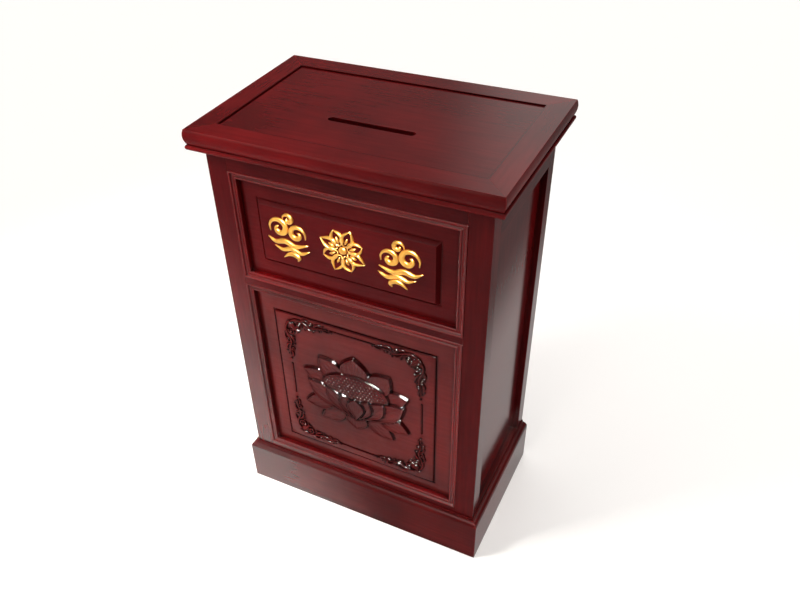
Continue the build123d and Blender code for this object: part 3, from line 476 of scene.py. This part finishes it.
# Darkest and brightest tint of each lacquer. Seeds and ornament are the raised pieces on the carved panel. The
# tints were set part by part to how bright each part looks under this light, so they are lit and shaded copies
# of one lacquer: the seeds are a lit copy of the carved lacquer and the ornament a shaded one.
TINTS = {
    "lid_lacquer": ((0.090, 0.0034, 0.0040), (0.118, 0.0048, 0.0056)),
    "frame_lacquer": ((0.058, 0.0030, 0.0036), (0.088, 0.0042, 0.0050)),
    "moulding_lacquer": ((0.120, 0.0030, 0.0036), (0.170, 0.0044, 0.0052)),
    "panel_lacquer": ((0.070, 0.0032, 0.0038), (0.098, 0.0045, 0.0053)),
    "carved_lacquer": ((0.088, 0.0075, 0.0072), (0.110, 0.0095, 0.0090)),
    "plinth_lacquer": ((0.070, 0.0048, 0.0050), (0.108, 0.0075, 0.0078)),
    "seeds": ((0.15, 0.012, 0.010), (0.23, 0.020, 0.017)),
    "ornament": ((0.072, 0.0045, 0.0045), (0.105, 0.0065, 0.0060)),
}
# Openness at which the painted shade in hollows is full and at which it ends, on plain and carved faces.
PLAIN_HOLLOW_SHADE, CARVED_HOLLOW_SHADE = (0.30, 0.86), (0.50, 0.93)
PLAIN_FINISH = (0.42, 0.14, PLAIN_HOLLOW_SHADE)

# Coat weight, coat roughness, openness for the painted shade in hollows, whether carved, and flats.
FINISHES = {
    "lid_lacquer": (0.60, 0.13, PLAIN_HOLLOW_SHADE),
    "panel_lacquer": (0.60, 0.14, PLAIN_HOLLOW_SHADE),
    "moulding_lacquer": (0.90, 0.16, PLAIN_HOLLOW_SHADE, False, (-0.985, -0.92)),
    "carved_lacquer": (0.25, 0.09, CARVED_HOLLOW_SHADE, True),
    "ornament": (0.17, 0.12, CARVED_HOLLOW_SHADE, True),
    "seeds": (0.30, 0.12, CARVED_HOLLOW_SHADE, True),
}


def longest_axis(name):
    """Axis letter of a node's longest side, which its grain follows."""
    low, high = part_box(name)
    sides = [high[i] - low[i] for i in range(3)]
    return "xyz"[sides.index(max(sides))]


def lacquer_for(kind, grain):
    """Lacquer of one kind and grain direction, made once."""
    if (kind, grain) not in LACQUERS:
        LACQUERS[kind, grain] = lacquer(kind, *TINTS[kind], grain, *FINISHES.get(kind, PLAIN_FINISH))
    return LACQUERS[kind, grain]


# ---------------------------------------------------------------- mesh helpers
def link_mesh(name, verts, faces, material, slot):
    """Mesh object from millimetre coordinates, in the scene and riding on the root. The slot argument is not
    used.
    """
    mesh = bpy.data.meshes.new(name)
    mesh.from_pydata((np.array(verts) * MM).tolist(), [], faces)
    mesh.update()
    mesh.materials.append(material)
    piece = bpy.data.objects.new(name, mesh)
    scene.collection.objects.link(piece)
    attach(piece, "root")
    return piece


def curve_through(points, steps=6):
    """Smooth open curve through the points, as a list of points."""
    ends = [tuple(2 * a - b for a, b in zip(points[0], points[1]))]
    ends += list(points)
    ends.append(tuple(2 * a - b for a, b in zip(points[-1], points[-2])))
    made = []
    for index in range(len(points) - 1):
        p0, p1, p2, p3 = (np.array(p, float) for p in ends[index:index + 4])
        for step in range(steps):
            t = step / steps
            made.append(tuple(0.5 * (2 * p1 + (p2 - p0) * t + (2 * p0 - 5 * p1 + 4 * p2 - p3) * t * t
                                     + (3 * p1 - p0 - 3 * p2 + p3) * t ** 3)))
    made.append(tuple(points[-1]))
    return made


def inside_distance(px, pz, outline):
    """Signed distance to a closed outline, positive inside."""
    nearest = np.full(px.shape, 1e9)
    inside = np.zeros(px.shape, bool)
    for (ax, az), (bx, bz) in zip(outline, np.roll(outline, -1, axis=0)):
        ex, ez = bx - ax, bz - az
        t = np.clip(((px - ax) * ex + (pz - az) * ez) / max(ex * ex + ez * ez, 1e-9), 0, 1)
        nearest = np.minimum(nearest, np.hypot(px - ax - t * ex, pz - az - t * ez))
        crosses = (az > pz) != (bz > pz)
        if ez:
            inside ^= crosses & (px < ax + (pz - az) * ex / ez)
    return np.where(inside, nearest, -nearest)


def ease(value, low, high):
    """Smooth step from 0 at low to 1 at high."""
    t = np.clip((value - low) / (high - low), 0, 1)
    return t * t * (3 - 2 * t)


# ---------------------------------------------------------------- carved lotus
# A plain lotus: pointed petals drawn by one formula and mirrored, round an oval pod.
POD_MIDDLE = (0.0, 332.0)
POD_RADII = (66.0, 34.0)
POD_HEIGHT, POD_CROWN = 3.4, 2.2
POD_SWELL = 12.0
POD_LIP, POD_LIP_IN, POD_GROOVE_IN = 0.8, 1.2, 3.6
CUT_DEPTH, CUT_WIDTH = 2.0, 2.9
EDGE_BLEND = (-0.45, 0.55)
OUTLINE_STEPS = 28
PETAL_FULLNESS = 1.35
PETAL_RIM, RIM_IN, RIM_WIDTH = 1.3, 1.5, 1.2
PETAL_HOLLOW, HOLLOW_SWELL = -1.6, 6.0
VEIN_RISE, VEIN_FADE = 0.28, (2.0, 5.0)
FAN_FOOT, FAN_SPREAD = 6, 0.55
GROUND_RISE = 0.10
PAST_TIP = 1.1

# Petals from back to front, right half and middle: foot, tip, half width, heights at foot and tip, veins.
BACK_PETALS = [
    ((28, 318), (105, 352), 18, 1.4, 3.8, 5),
    ((16, 326), (70, 390), 23, 1.7, 4.2, 5),
    ((0, 330), (0, 410), 28, 2.0, 4.4, 7),
    ((2, 284), (76, 238), 18, 2.4, 3.4, 5),
    ((24, 292), (107, 268), 18, 2.8, 3.9, 5),
    ((0, 290), (0, 235), 23, 3.2, 4.0, 5),
]
FRONT_PETALS = [
    ((18, 264), (98, 328), 20, 3.6, 5.2, 5),
    ((10, 262), (58, 322), 17, 4.0, 5.8, 4),
    ((4, 260), (27, 318), 15, 4.4, 6.2, 4),
    ((0, 258), (0, 314), 17, 4.8, 6.8, 5),
]


def petal_outline(foot, tip, half_width):
    """Pointed oval from foot to tip, widest past its middle."""
    t = np.linspace(0, 1, OUTLINE_STEPS)[:, None]
    axis = np.subtract(tip, foot)
    across = np.array([axis[1], -axis[0]]) / np.linalg.norm(axis)
    middle = np.array(foot) + t * axis
    swell = half_width * np.sin(math.pi * t ** PETAL_FULLNESS) * across
    return np.vstack([middle + swell, (middle - swell)[-2:0:-1]])


def mirrored_petals(petals):
    """The listed petals, each off the middle line followed by its mirror image."""
    made = []
    for foot, tip, *rest in petals:
        made.append((foot, tip, *rest))
        if tip[0]:
            made.append(((-foot[0], foot[1]), (-tip[0], tip[1]), *rest))
    return made


def lay(height, depth, surface):
    """Lay a raised shape over the relief, with a cut line round it."""
    height = height - CUT_DEPTH * np.exp(-(depth / CUT_WIDTH) ** 2) * (depth < 0)
    cover = ease(depth, *EDGE_BLEND)
    return height * (1 - cover) + surface * cover


def carve(height, px, pz, petal):
    """Lay one petal over the relief; also gives the signed distance to its outline."""
    foot, tip, half_width, low, high, veins = petal
    depth = inside_distance(px, pz, petal_outline(foot, tip, half_width))
    axis = np.subtract(tip, foot)
    reach = np.linalg.norm(axis)
    along = np.clip(((px - foot[0]) * axis[0] + (pz - foot[1]) * axis[1]) / reach ** 2, 0, PAST_TIP)
    across = ((px - foot[0]) * axis[1] - (pz - foot[1]) * axis[0]) / reach
    surface = low + (high - low) * along
    surface += PETAL_RIM * np.exp(-((depth - RIM_IN) / RIM_WIDTH) ** 2)
    surface += PETAL_HOLLOW * (1 - np.exp(-(np.maximum(depth, 0) / HOLLOW_SWELL) ** 2))
    fan = across / (FAN_FOOT + FAN_SPREAD * reach * along)
    surface += VEIN_RISE * np.cos(math.tau * veins * fan) * ease(depth, *VEIN_FADE)
    return lay(height, depth, surface), depth


def lotus_relief(px, pz):
    """Height above the field's gently uneven ground, and how far inside the bare pod each point is."""
    height = GROUND_RISE * np.sin(px / 9.0 + 1.3 * np.sin(pz / 14.0)) * np.cos(pz / 11.0 + px / 31.0)
    for petal in mirrored_petals(BACK_PETALS):
        height, _ = carve(height, px, pz, petal)
    angle = np.linspace(0, math.tau, 3 * OUTLINE_STEPS, endpoint=False)
    pod = np.array(POD_MIDDLE) + np.stack([np.cos(angle), np.sin(angle)], axis=1) * POD_RADII
    bare = inside_distance(px, pz, pod)
    dome = POD_HEIGHT + POD_CROWN * (1 - np.exp(-(np.maximum(bare, 0) / POD_SWELL) ** 2))
    dome += POD_LIP * (np.exp(-(bare - POD_LIP_IN) ** 2) - np.exp(-(bare - POD_GROOVE_IN) ** 2))
    height = lay(height, bare, dome)
    for petal in mirrored_petals(FRONT_PETALS):
        height, depth = carve(height, px, pz, petal)
        bare = np.minimum(bare, -depth)
    return height, bare


FIELD_HALF = (155, 156)
FIELD_MIDDLE_Z = 311
SLAB_FACE, SLAB_BACK, FIELD_FACE, GROOVE_FACE = -134.0, -123.0, -137.0, -132.5
# The slab fills the opening inside the mouldings, a little clear of it.
SLAB_CLEARANCE = 0.05
SLAB_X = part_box("lotus_moulding_bottom")[1].x / MM - SLAB_CLEARANCE
SLAB_Z = [edge.z / MM + side * SLAB_CLEARANCE for edge, side in zip(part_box("lotus_moulding_left"), (1, -1))]
FLOWER_X, FLOWER_Z = (-116, 116), (226, 418)
FLOWER_STEP, FLOWER_FADE = 0.95, 5
# The mitres at the field's corners are eased back, between these distances in from its edge.
CORNER_EASE, CORNER_WIDTH = 1.3, 1.6
CORNER_START, CORNER_STOP = (0.0, 0.7), (4, 12)
SHARP_ANGLE = math.radians(32)
FAR = 400
# Distance in from the field's edge, and the face's Y there.
PROFILE = [(-FAR, SLAB_FACE), (-3.2, SLAB_FACE), (-2.9, GROOVE_FACE), (-0.3, GROOVE_FACE),
           (0, SLAB_FACE - 0.2), (0.7, -135.6), (1.8, -136.6), (3.2, FIELD_FACE), (FAR, FIELD_FACE)]


def grid_lines(low, high, field_low, field_high, fine_low, fine_high):
    """Grid lines on one axis: fine over the flower, and on each change of the edge profile."""
    lines = {low, high}
    for offset, _ in PROFILE[1:-1]:
        lines |= {field_low + offset, field_high - offset}
    count = round((fine_high - fine_low) / FLOWER_STEP)
    lines |= {fine_low + (fine_high - fine_low) * i / count for i in range(count + 1)}
    lines |= {(fine_low + field_low) / 2, (fine_high + field_high) / 2}
    return np.array(sorted(lines))


def lotus_face(px, pz):
    """Y of the panel's face, and how far inside the bare pod and the flower's area each point is."""
    edge_x, edge_z = FIELD_HALF[0] - np.abs(px), FIELD_HALF[1] - np.abs(pz - FIELD_MIDDLE_Z)
    edge = np.minimum(edge_x, edge_z)
    mitre = np.exp(-np.abs(edge_x - edge_z) / CORNER_WIDTH)
    edge -= CORNER_EASE * mitre * ease(edge, *CORNER_START) * (1 - ease(edge, *CORNER_STOP))
    face = np.interp(edge, [p[0] for p in PROFILE], [p[1] for p in PROFILE])
    relief, bare_pod = lotus_relief(px, pz)
    border = np.minimum.reduce([px - FLOWER_X[0], FLOWER_X[1] - px, pz - FLOWER_Z[0], FLOWER_Z[1] - pz])
    return face - relief * ease(border, 0, FLOWER_FADE), bare_pod, border


def closed_slab(px, face, pz):
    """Vertices and faces of a slab with a gridded front face, straight sides and one flat back."""
    rows, columns = px.shape
    verts = np.stack([px, face, pz], axis=-1).reshape(-1, 3)
    faces = []
    for row in range(rows - 1):
        start = row * columns
        faces += [(i, i + 1, i + columns + 1, i + columns) for i in range(start, start + columns - 1)]
    rim = list(range(columns)) + [columns * r + columns - 1 for r in range(1, rows)]
    rim += [columns * (rows - 1) + c for c in range(columns - 2, -1, -1)]
    rim += [columns * r for r in range(rows - 2, 0, -1)]
    back = verts[rim].copy()
    back[:, 1] = SLAB_BACK
    offset, count = len(verts), len(rim)
    for i, corner in enumerate(rim):
        after = (i + 1) % count
        faces.append((rim[after], corner, offset + i, offset + after))
    faces.append(tuple(offset + i for i in reversed(range(count))))
    return np.vstack([verts, back]), faces


def keep_flower_smooth(mesh, in_flower):
    """Sharp edges by angle, but none inside the flower."""
    mesh.shade_smooth()
    mesh.set_sharp_from_angle(angle=SHARP_ANGLE)
    sharp = np.zeros(len(mesh.edges), bool)
    mesh.attributes["sharp_edge"].data.foreach_get("value", sharp)
    ends = np.zeros(2 * len(mesh.edges), int)
    mesh.edges.foreach_get("vertices", ends)
    ends = ends.reshape(-1, 2)
    sharp &= ~(in_flower[ends[:, 0]] & in_flower[ends[:, 1]])
    mesh.attributes["sharp_edge"].data.foreach_set("value", sharp)


def make_lotus_panel(material):
    """Panel slab with its raised field, and the lotus carved on it, as one closed mesh."""
    xs = grid_lines(-SLAB_X, SLAB_X, -FIELD_HALF[0], FIELD_HALF[0], *FLOWER_X)
    zs = grid_lines(*SLAB_Z, FIELD_MIDDLE_Z - FIELD_HALF[1], FIELD_MIDDLE_Z + FIELD_HALF[1], *FLOWER_Z)
    px, pz = np.meshgrid(xs, zs)
    face, bare_pod, border = lotus_face(px, pz)
    verts, faces = closed_slab(px, face, pz)
    piece = link_mesh("lotus_carving", verts, faces, material, "carved_lacquer")
    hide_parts("lotus_panel")
    in_flower = np.zeros(len(verts), bool)
    in_flower[:border.size] = border.reshape(-1) > 0
    keep_flower_smooth(piece.data, in_flower)
    return px, pz, face, bare_pod


def ball(centre, radius, flatten=1.0, rings=6, sides=10):
    """Vertices and faces of a small ball, flattened along Y."""
    cx, cy, cz = centre
    verts = [(cx, cy - radius * flatten, cz)]
    for ring in range(1, rings):
        tilt = math.pi * ring / rings
        for side in range(sides):
            turn = math.tau * side / sides
            out = radius * math.sin(tilt)
            depth = radius * flatten * math.cos(tilt)
            verts.append((cx + out * math.cos(turn), cy - depth, cz + out * math.sin(turn)))
    verts.append((cx, cy + radius * flatten, cz))
    faces = [(0, 1 + side, 1 + (side + 1) % sides) for side in range(sides)]
    for ring in range(rings - 2):
        a = 1 + ring * sides
        for side in range(sides):
            after = (side + 1) % sides
            faces.append((a + side, a + sides + side, a + sides + after, a + after))
    a = 1 + (rings - 2) * sides
    faces += [(a + side, a + sides, a + (side + 1) % sides) for side in range(sides)]
    return verts, faces


LEAST_WIDTH, SUNK_DEPTH = 0.05, 0.8


def stroke(points, widths, height, level, sides=12, flat=1.0, steps=6):
    """Vertices and faces of a carved stroke: a closed swept form of changing width, sunk in the ground.

    points are (x, z) and widths are half widths at them; flat under 1 squares the section off.
    """
    path = curve_through([(x, z, w) for (x, z), w in zip(points, widths)], steps)
    verts, faces = [], []
    count = len(path)
    for index, (x, z, width) in enumerate(path):
        ax, az = path[max(index - 1, 0)][:2]
        bx, bz = path[min(index + 1, count - 1)][:2]
        length = math.hypot(bx - ax, bz - az) or 1
        nx, nz = -(bz - az) / length, (bx - ax) / length
        width = max(width, LEAST_WIDTH)
        rise = height * min(1.0, width / max(widths)) ** 0.5
        for side in range(sides):
            turn = math.tau * side / sides
            c, s = math.cos(turn), math.sin(turn)
            c = math.copysign(abs(c) ** flat, c)
            s = math.copysign(abs(s) ** flat, s)
            y = level - (rise if s > 0 else SUNK_DEPTH) * s
            verts.append((x + nx * width * c, y, z + nz * width * c))
    for index in range(count - 1):
        a, b = index * sides, (index + 1) * sides
        for side in range(sides):
            after = (side + 1) % sides
            faces.append((a + side, a + after, b + after, b + side))
    faces.append(tuple(reversed(range(sides))))
    faces.append(tuple(range((count - 1) * sides, count * sides)))
    return verts, faces


def merged(parts):
    """One list of vertices and faces from several."""
    verts, faces = [], []
    for part_verts, part_faces in parts:
        start = len(verts)
        verts += part_verts
        faces += [tuple(start + i for i in face) for face in part_faces]
    return verts, faces


SEED_PITCH = (7.2, 6.2)
SEED_MARGIN = 4.4
SEED_SCATTER, SEED_RADII, SEED_FLATNESS, SEED_SINK = 0.6, (1.9, 2.4), 0.95, 0.1


def make_seeds(material, px, pz, face, bare_pod):
    """Bead seeds in staggered rows over the bare part of the pod."""
    random.seed(11)
    parts = []
    low_x, high_x = POD_MIDDLE[0] - POD_RADII[0], POD_MIDDLE[0] + POD_RADII[0]
    low_z, high_z = POD_MIDDLE[1] - POD_RADII[1], POD_MIDDLE[1] + POD_RADII[1]
    for row, z in enumerate(np.arange(low_z, high_z, SEED_PITCH[1])):
        for x in np.arange(low_x, high_x, SEED_PITCH[0]):
            seed_x = x + SEED_PITCH[0] / 2 * (row % 2) + random.uniform(-SEED_SCATTER, SEED_SCATTER)
            seed_z = z + random.uniform(-SEED_SCATTER, SEED_SCATTER)
            column = int(np.argmin(np.abs(px[0] - seed_x)))
            line = int(np.argmin(np.abs(pz[:, 0] - seed_z)))
            if bare_pod[line, column] > SEED_MARGIN:
                middle = (seed_x, face[line, column] + SEED_SINK, seed_z)
                parts.append(ball(middle, random.uniform(*SEED_RADII), SEED_FLATNESS))
    return link_mesh("lotus_seeds", *merged(parts), material, "carved_lacquer")


SPIRAL_CLOSING = 0.82


def spiral(cx, cz, start, turn, radius, coils=1.35, steps=12):
    """Points of a closing spiral from an outer radius to its eye."""
    made = []
    for index in range(steps + 1):
        t = index / steps
        angle = start + turn * math.tau * coils * t
        r = radius * (1 - SPIRAL_CLOSING * t)
        made.append((cx + r * math.cos(angle), cz + r * math.sin(angle)))
    return made


# Strokes of half a corner ornament, its arm along +X from the corner: points, half widths, height.
ARM_STROKES = [
    ([(3, 9), (9, 1), (20, -3.5), (32, -1.5), (42, 3), (52, 5), (62, 2), (72, 0.5), (84, 0)],
     [1.0, 1.7, 2.2, 2.0, 1.7, 1.9, 1.6, 1.2, 0.6], 2.6),
    (spiral(24, 8.5, -1.9, 1, 7.5), [1.7] + [1.5] * 6 + [1.2] * 6, 2.6),
    (spiral(47, -1.5, 2.0, -1, 6.0), [1.5] + [1.3] * 6 + [1.1] * 6, 2.4),
    (spiral(66, 6.0, -1.6, 1, 4.6), [1.4] + [1.2] * 6 + [1.0] * 6, 2.2),
    ([(12, 4), (15, 11), (13, 18), (8, 22)], [1.0, 2.6, 2.0, 0.4], 2.8),
    ([(33, 0), (38, 7), (45, 11), (51, 10)], [0.9, 2.3, 1.8, 0.3], 2.6),
    ([(54, 5), (57, -2), (64, -6), (70, -5)], [0.8, 2.0, 1.6, 0.3], 2.4),
    ([(70, 1), (76, 5), (83, 5.5), (88, 3)], [0.7, 1.8, 1.5, 0.3], 2.2),
    ([(28, -3), (34, -7), (40, -7.5), (45, -5)], [0.6, 1.6, 1.4, 0.3], 2.2),
]
# Beads of the same half: place and radius.
ARM_BEADS = [(24, 8.5, 2.1), (47, -1.5, 1.9), (66, 6, 1.6), (14, 24, 1.7), (54, 12, 1.6), (74, -6, 1.5),
             (91, 1, 1.8), (37, 12.5, 1.5), (57, 8.5, 1.3), (80, -2.6, 1.2), (5, 2.5, 2.2)]
CORNER_LEAVES = [([(4, 4), (9, 12), (19, 19), (27, 20)], [0.8, 3.0, 2.2, 0.4], 3.0),
                 ([(4, 4), (12, 9), (19, 19), (20, 27)], [0.8, 3.0, 2.2, 0.4], 3.0),
                 ([(3, 3), (11, 11), (18, 18), (24, 24)], [1.0, 2.8, 1.9, 0.3], 3.6)]
SCROLL_BOLDNESS, SCROLL_RISE = 1.25, 1.5
FRAME_X, FRAME_LOW, FRAME_HIGH = 130.5, 174, 456
BEAD_LIFT, BEAD_BOLDNESS = 2.7, 1.3
LINE_REACH_X, LINE_REACH_Z = 44, 37
LINE_HALF_WIDTH, LINE_RISE = 1.7, 2.2


def scroll_arm(corner_x, corner_z, swap):
    """Strokes and beads of one arm of a corner, which runs along X, or along Z if swapped."""
    base_z = FRAME_HIGH if corner_z > 0 else FRAME_LOW

    def place(u, v):
        if swap:
            u, v = v, u
        return corner_x * (FRAME_X - u), base_z - corner_z * v

    made = []
    for points, widths, rise in ARM_STROKES + ([] if swap else CORNER_LEAVES):
        bold = [SCROLL_BOLDNESS * width for width in widths]
        path = [place(u, v) for u, v in points]
        made.append(stroke(path, bold, SCROLL_RISE * rise, FIELD_FACE, sides=10, steps=3))
    for u, v, radius in ARM_BEADS:
        bead_x, bead_z = place(u, v)
        made.append(ball((bead_x, FIELD_FACE - BEAD_LIFT, bead_z), BEAD_BOLDNESS * radius))
    return made


def make_scrolls(material):
    """Corner scrolls and the thin lines that join them."""
    parts = []
    for corner_x, corner_z in ((-1, -1), (-1, 1), (1, -1), (1, 1)):
        for swap in (False, True):
            parts += scroll_arm(corner_x, corner_z, swap)
    middle = (FRAME_LOW + FRAME_HIGH) / 2
    level = [[(end * LINE_REACH_X, z) for end in (-1, 0, 1)] for z in (FRAME_LOW, FRAME_HIGH)]
    upright = [[(x, middle + end * LINE_REACH_Z) for end in (-1, 0, 1)] for x in (-FRAME_X, FRAME_X)]
    for line in level + upright:
        parts.append(stroke(line, [LINE_HALF_WIDTH] * len(line), LINE_RISE, FIELD_FACE))
    return link_mesh("lotus_scrolls", *merged(parts), material, "carved_lacquer")


# ---------------------------------------------------------------- gilt ornaments
GILT_LEVEL = -141.0
GILT_RISE = 3.5
GILT_Z = 634.0
GILT_LEFT_X, GILT_MIDDLE_X, GILT_RIGHT_X = -103, -4, 95
BRUSH_SHAPE = [0.14, 0.75, 1.0, 0.85, 0.16]
PETAL_COUNT, LONG_PETAL, SHORT_PETAL = 8, 42, 38
BOSS_RADIUS, BOSS_FLATNESS = 7.0, 0.48


def leaf_stroke(path, half_width):
    """Brush-like stroke: thin ends and a full middle."""
    places = np.linspace(0, 1, len(BRUSH_SHAPE))
    return path, [half_width * float(np.interp(t, places, BRUSH_SHAPE)) for t in np.linspace(0, 1, len(path))]


def cloud_strokes():
    """Cloud scroll round the origin: three curls over three trails."""
    return [
        leaf_stroke(spiral(-15, 14, 3.6, -1, 19, 1.25, 14), 5.0),
        leaf_stroke(spiral(17, 9, -0.4, 1, 16.5, 1.25, 14), 4.6),
        leaf_stroke(spiral(3, 33, 3.3, -1, 10.5, 1.1, 12), 3.6),
        leaf_stroke([(-38, -6), (-24, -13), (-6, -9), (12, -15), (36, -8)], 4.6),
        leaf_stroke([(-27, -21), (-12, -26), (4, -21), (22, -26), (38, -19)], 3.8),
        leaf_stroke([(-12, -41), (-2, -33), (8, -31), (17, -36), (14, -43)], 4.0),
    ]


def blossom_strokes():
    """Open blossom round the origin: petals in outline, each with a stamen."""
    made = []
    for index in range(PETAL_COUNT):
        turn = math.tau * (index + 0.5) / PETAL_COUNT
        c, s = math.cos(turn), math.sin(turn)
        tip = LONG_PETAL if index % 2 else SHORT_PETAL
        for side in (-1, 1):
            edge = [(9, 0), (17, side * 8.5), (29, side * 8.2), (tip, 0)]
            made.append(leaf_stroke([(u * c - v * s, u * s + v * c) for u, v in edge], 2.6))
        made.append(leaf_stroke([(u * c, u * s) for u in (14, 20, 26)], 2.2))
    return made


def make_gilt(name, replaced, centre_x, strokes, mirror, boss):
    """Raised gilt ornament on the frieze field, with or without a round boss in its middle."""
    parts = []
    for path, widths in strokes:
        points = [(centre_x + mirror * u, GILT_Z + v) for u, v in path]
        parts.append(stroke(points, widths, GILT_RISE, GILT_LEVEL, sides=16, flat=0.55, steps=4))
    if boss:
        parts.append(ball((centre_x, GILT_LEVEL, GILT_Z), BOSS_RADIUS, BOSS_FLATNESS, rings=10, sides=28))
    piece = link_mesh(name, *merged(parts), FITTINGS["gilt"], "gilt")
    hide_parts(replaced)
    return piece


# ---------------------------------------------------------------- the whole box
# Arris widths in millimetres where they differ from the usual one.
ARRIS = {"frame_lacquer": 0.45, "gilt": 0.25, "hinge_brass": 0.25, "screw_steel": 0.2, "lock_nickel": 0.25,
         "inner_wood": 0.4}
FITTINGS = {
    "gilt": metal("gilt", (0.72, 0.36, 0.042), (0.98, 0.76, 0.40), 0.32, 0.45, 0.35),
    "hinge_brass": metal("hinge_brass", (0.62, 0.43, 0.17), (0.88, 0.70, 0.38), 0.32),
    "screw_steel": metal("screw_steel", (0.42, 0.42, 0.43), (0.75, 0.75, 0.76), 0.34),
    "lock_nickel": metal("lock_nickel", (0.60, 0.58, 0.55), (0.86, 0.85, 0.83), 0.20, 1.0, 0.15),
    "inner_wood": bare_wood("inner_wood", (0.30, 0.17, 0.085), (0.56, 0.37, 0.21)),
}
slots = {row["node"]: row["material_slot"] for row in frame["record"]["subparts"]}
for name, piece in frame["nodes"].items():
    slot = slots[name]
    material = lacquer_for(slot, longest_axis(name)) if slot in TINTS else FITTINGS[slot]
    piece.data.materials.clear()
    piece.data.materials.append(material)
    soften(piece, ARRIS.get(slot, ARRIS_WIDTH))

# The carved panel is made first, because its seeds stand on its face.
panel_grid = make_lotus_panel(lacquer_for("carved_lacquer", "x"))
ornaments = [
    make_seeds(lacquer_for("seeds", "x"), *panel_grid),
    make_scrolls(lacquer_for("ornament", "x")),
    make_gilt("gilt_cloud_left", "left_gilt_cloud", GILT_LEFT_X, cloud_strokes(), 1, False),
    make_gilt("gilt_blossom", "centre_gilt_blossom", GILT_MIDDLE_X, blossom_strokes(), 1, True),
    make_gilt("gilt_cloud_right", "right_gilt_cloud", GILT_RIGHT_X, cloud_strokes(), -1, False),
]
for ornament in ornaments:
    normals = bmesh.new()
    normals.from_mesh(ornament.data)
    bmesh.ops.recalc_face_normals(normals, faces=normals.faces)
    normals.to_mesh(ornament.data)
    normals.free()
    ornament.data.shade_smooth()
